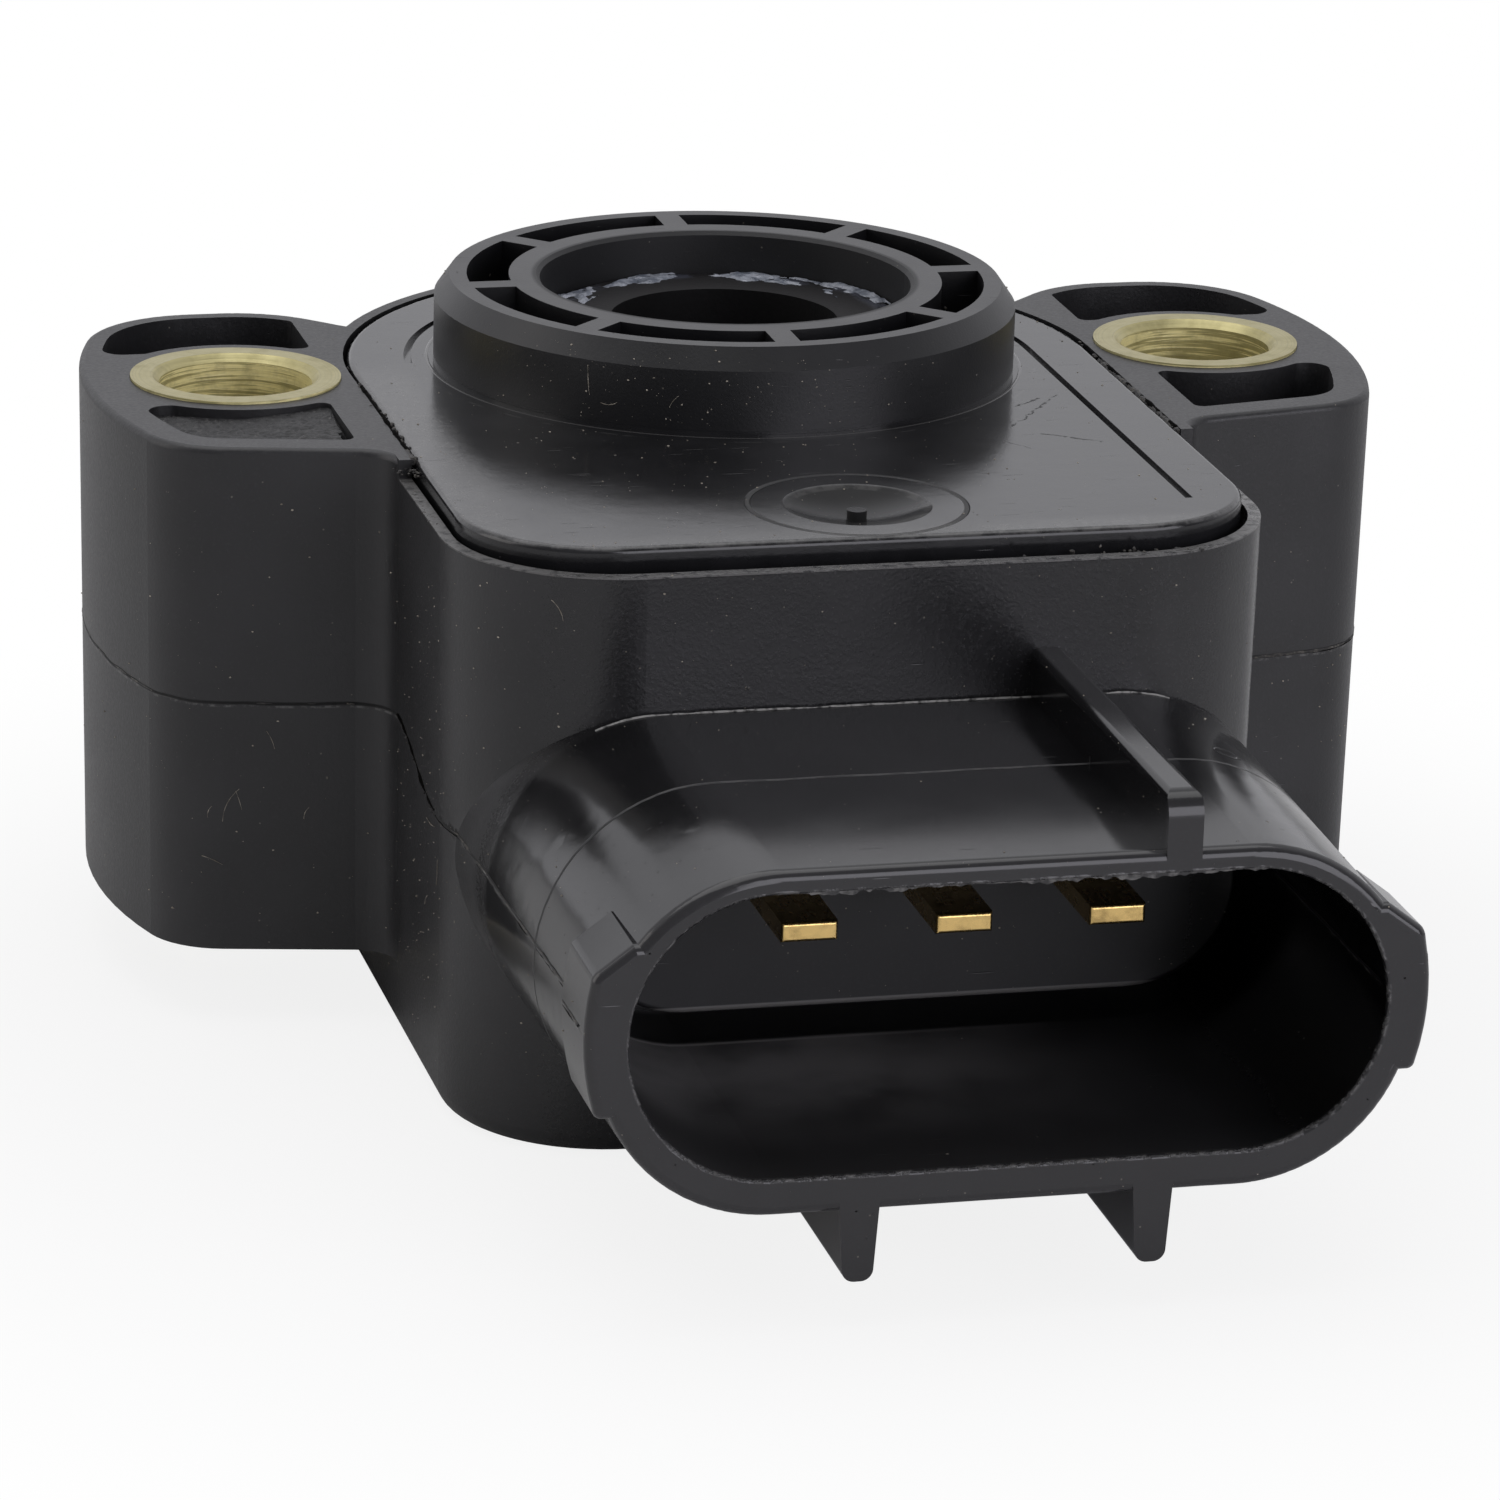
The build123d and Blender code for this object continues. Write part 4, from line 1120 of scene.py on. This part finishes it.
class SENSOR_OT_stage(Operator):
    """Pale floor, soft studio lamps and the camera"""

    bl_idname = "sensor.stage"
    bl_label = "Stage"

    def execute(self, context):
        scene = context.scene
        look = scene.sensor_stage
        # Each lamp: its place, what it points at, its size, power and colour.
        lamps = {
            "top_lamp": ((-0.05, 0.05, 0.55), (0, -0.01, 0), 0.6, look.top_power, WHITE),
            "left_lamp": (
                (-0.6, 0.08, 0.22), (0, -0.02, -0.01), 0.4, look.left_power, (1.0, 0.95, 0.9)
            ),
            "front_lamp": (
                (0.29, -0.56, 0.11), (0, -0.04, -0.012), 0.55, look.front_power, (0.93, 0.92, 1.0)
            ),
        }
        self.camera(scene, look)
        for name, values in lamps.items():
            self.lamp(scene, name, *values)
        self.surroundings(scene, look)
        self.floor(scene, look)
        scene.view_settings.view_transform = "Standard"
        return {"FINISHED"}

    def camera(self, scene, look):
        a, e, r = look.azimuth, look.elevation, look.roll
        back = Vector((math.sin(a) * math.cos(e), -math.cos(a) * math.cos(e), math.sin(e)))
        right = Vector((math.cos(a), math.sin(a), 0.0))
        up = back.cross(right)
        across = right * math.cos(r) + up * math.sin(r)
        upright = up * math.cos(r) - right * math.sin(r)
        data = bpy.data.cameras.new("camera")
        data.sensor_width = 36.0
        data.lens = look.lens
        data.clip_start = 0.01
        data.clip_end = 20.0
        eye = bpy.data.objects.new("camera", data)
        turn = Matrix((across, upright, back)).transposed().to_4x4()
        eye.matrix_world = Matrix.Translation(Vector(look.eye)) @ turn
        scene.collection.objects.link(eye)
        scene.camera = eye

    def lamp(self, scene, name, place, target, size, power, colour):
        data = bpy.data.lights.new(name, "AREA")
        data.shape = "SQUARE"
        data.size = size
        data.energy = power
        data.color = colour
        lamp = bpy.data.objects.new(name, data)
        lamp.location = place
        lamp.rotation_mode = "QUATERNION"
        lamp.rotation_quaternion = (Vector(target) - Vector(place)).to_track_quat("-Z", "Y")
        scene.collection.objects.link(lamp)

    def surroundings(self, scene, look):
        """White to the eye; what the part mirrors is dimmer in front of it, where the room is."""
        scene.world = bpy.data.worlds.new("studio")
        scene.world.use_nodes = True
        room = Room(scene.world.node_tree)
        camera, glossy, through = (
            room.node("ShaderNodeLightPath", {}, {}, f"Is {name} Ray")
            for name in ("Camera", "Glossy", "Transmission")
        )
        way = room.node("ShaderNodeTexCoord", {}, {}, "Generated")
        side, depth = (room.node("ShaderNodeSeparateXYZ", {}, {0: way}, axis) for axis in (0, 1))
        level = depth.ease(-0.55, 0.25, look.front_level, 1.06) - side.ease(0.0, 0.6) * 0.12
        mirrored, light, white = (
            room.node("ShaderNodeBackground", {}, {"Color": colour, "Strength": strength})
            for colour, strength in (
                ((0.80, 0.80, 0.835), level),
                ((0.79, 0.79, 0.825), look.ambient),
                (WHITE, 1.0),
            )
        )
        mix = {0: glossy.most(through), 1: light, 2: mirrored}
        mix = {0: camera, 1: room.node("ShaderNodeMixShader", {}, mix), 2: white}
        mix = room.node("ShaderNodeMixShader", {}, mix)
        room.node("ShaderNodeOutputWorld", {}, {0: mix}, None)

    def floor(self, scene, look):
        """Paper that is white to the eye except for the shadow under the part."""
        mesh = bpy.data.meshes.new("floor")
        shape = bmesh.new()
        bmesh.ops.create_grid(shape, x_segments=1, y_segments=1, size=6.0)
        shape.to_mesh(mesh)
        shape.free()
        floor = bpy.data.objects.new("floor", mesh)
        floor.location.z = HOUSING_LOW.z - 0.00005
        scene.collection.objects.link(floor)
        f = Finish("floor_paper")
        f.set(look.floor_colour, 0.9, Specular_IOR_Level=0.1)
        camera = f.node("ShaderNodeLightPath", {}, {}, "Is Camera Ray")
        glow = f.node("ShaderNodeEmission", {}, {"Color": WHITE, "Strength": 1.0})
        paper = Shade(f, f.surface.outputs[0])
        away = (f.x * f.x + (f.y + 15.0) ** 2.0) ** 0.5
        mix = {0: camera * away.ease(25.0, 60.0, 0.85, 1.0), 1: paper, 2: glow}
        f.feed(f.output.inputs["Surface"], f.node("ShaderNodeMixShader", {}, mix))
        mesh.materials.append(f.material)


class SENSOR_PT_looks(Panel):
    """Sizes, colours and steps of the sensor's looks"""

    bl_label = "Sensor"
    bl_idname = "SENSOR_PT_looks"
    bl_space_type = "VIEW_3D"
    bl_region_type = "UI"
    bl_category = "Sensor"

    def draw(self, context):
        layout = self.layout
        for group in SETTINGS:
            box = layout.box()
            settings = getattr(context.scene, group)
            for name in settings.__annotations__:
                box.prop(settings, name)
        for operator in OPERATORS:
            layout.operator(operator.bl_idname)


SETTINGS = {
    "sensor_plastic": PlasticSettings,
    "sensor_metal": MetalSettings,
    "sensor_debris": DebrisSettings,
    "sensor_stage": StageSettings,
}
OPERATORS = (
    SENSOR_OT_housing,
    SENSOR_OT_cover,
    SENSOR_OT_sleeves,
    SENSOR_OT_blades,
    SENSOR_OT_rotor,
    SENSOR_OT_works,
    SENSOR_OT_flash,
    SENSOR_OT_tear,
    SENSOR_OT_mouth,
    SENSOR_OT_grease,
    SENSOR_OT_dust,
    SENSOR_OT_stage,
)
CLASSES = (*SETTINGS.values(), *OPERATORS, SENSOR_PT_looks)


def register():
    for cls in CLASSES:
        bpy.utils.register_class(cls)
    for name, group in SETTINGS.items():
        setattr(bpy.types.Scene, name, PointerProperty(type=group))


def unregister():
    for name in SETTINGS:
        delattr(bpy.types.Scene, name)
    for cls in reversed(CLASSES):
        bpy.utils.unregister_class(cls)


def main():
    register()
    for operator in OPERATORS:
        group, name = operator.bl_idname.split(".")
        getattr(getattr(bpy.ops, group), name)()


if __name__ == "__main__":
    main()
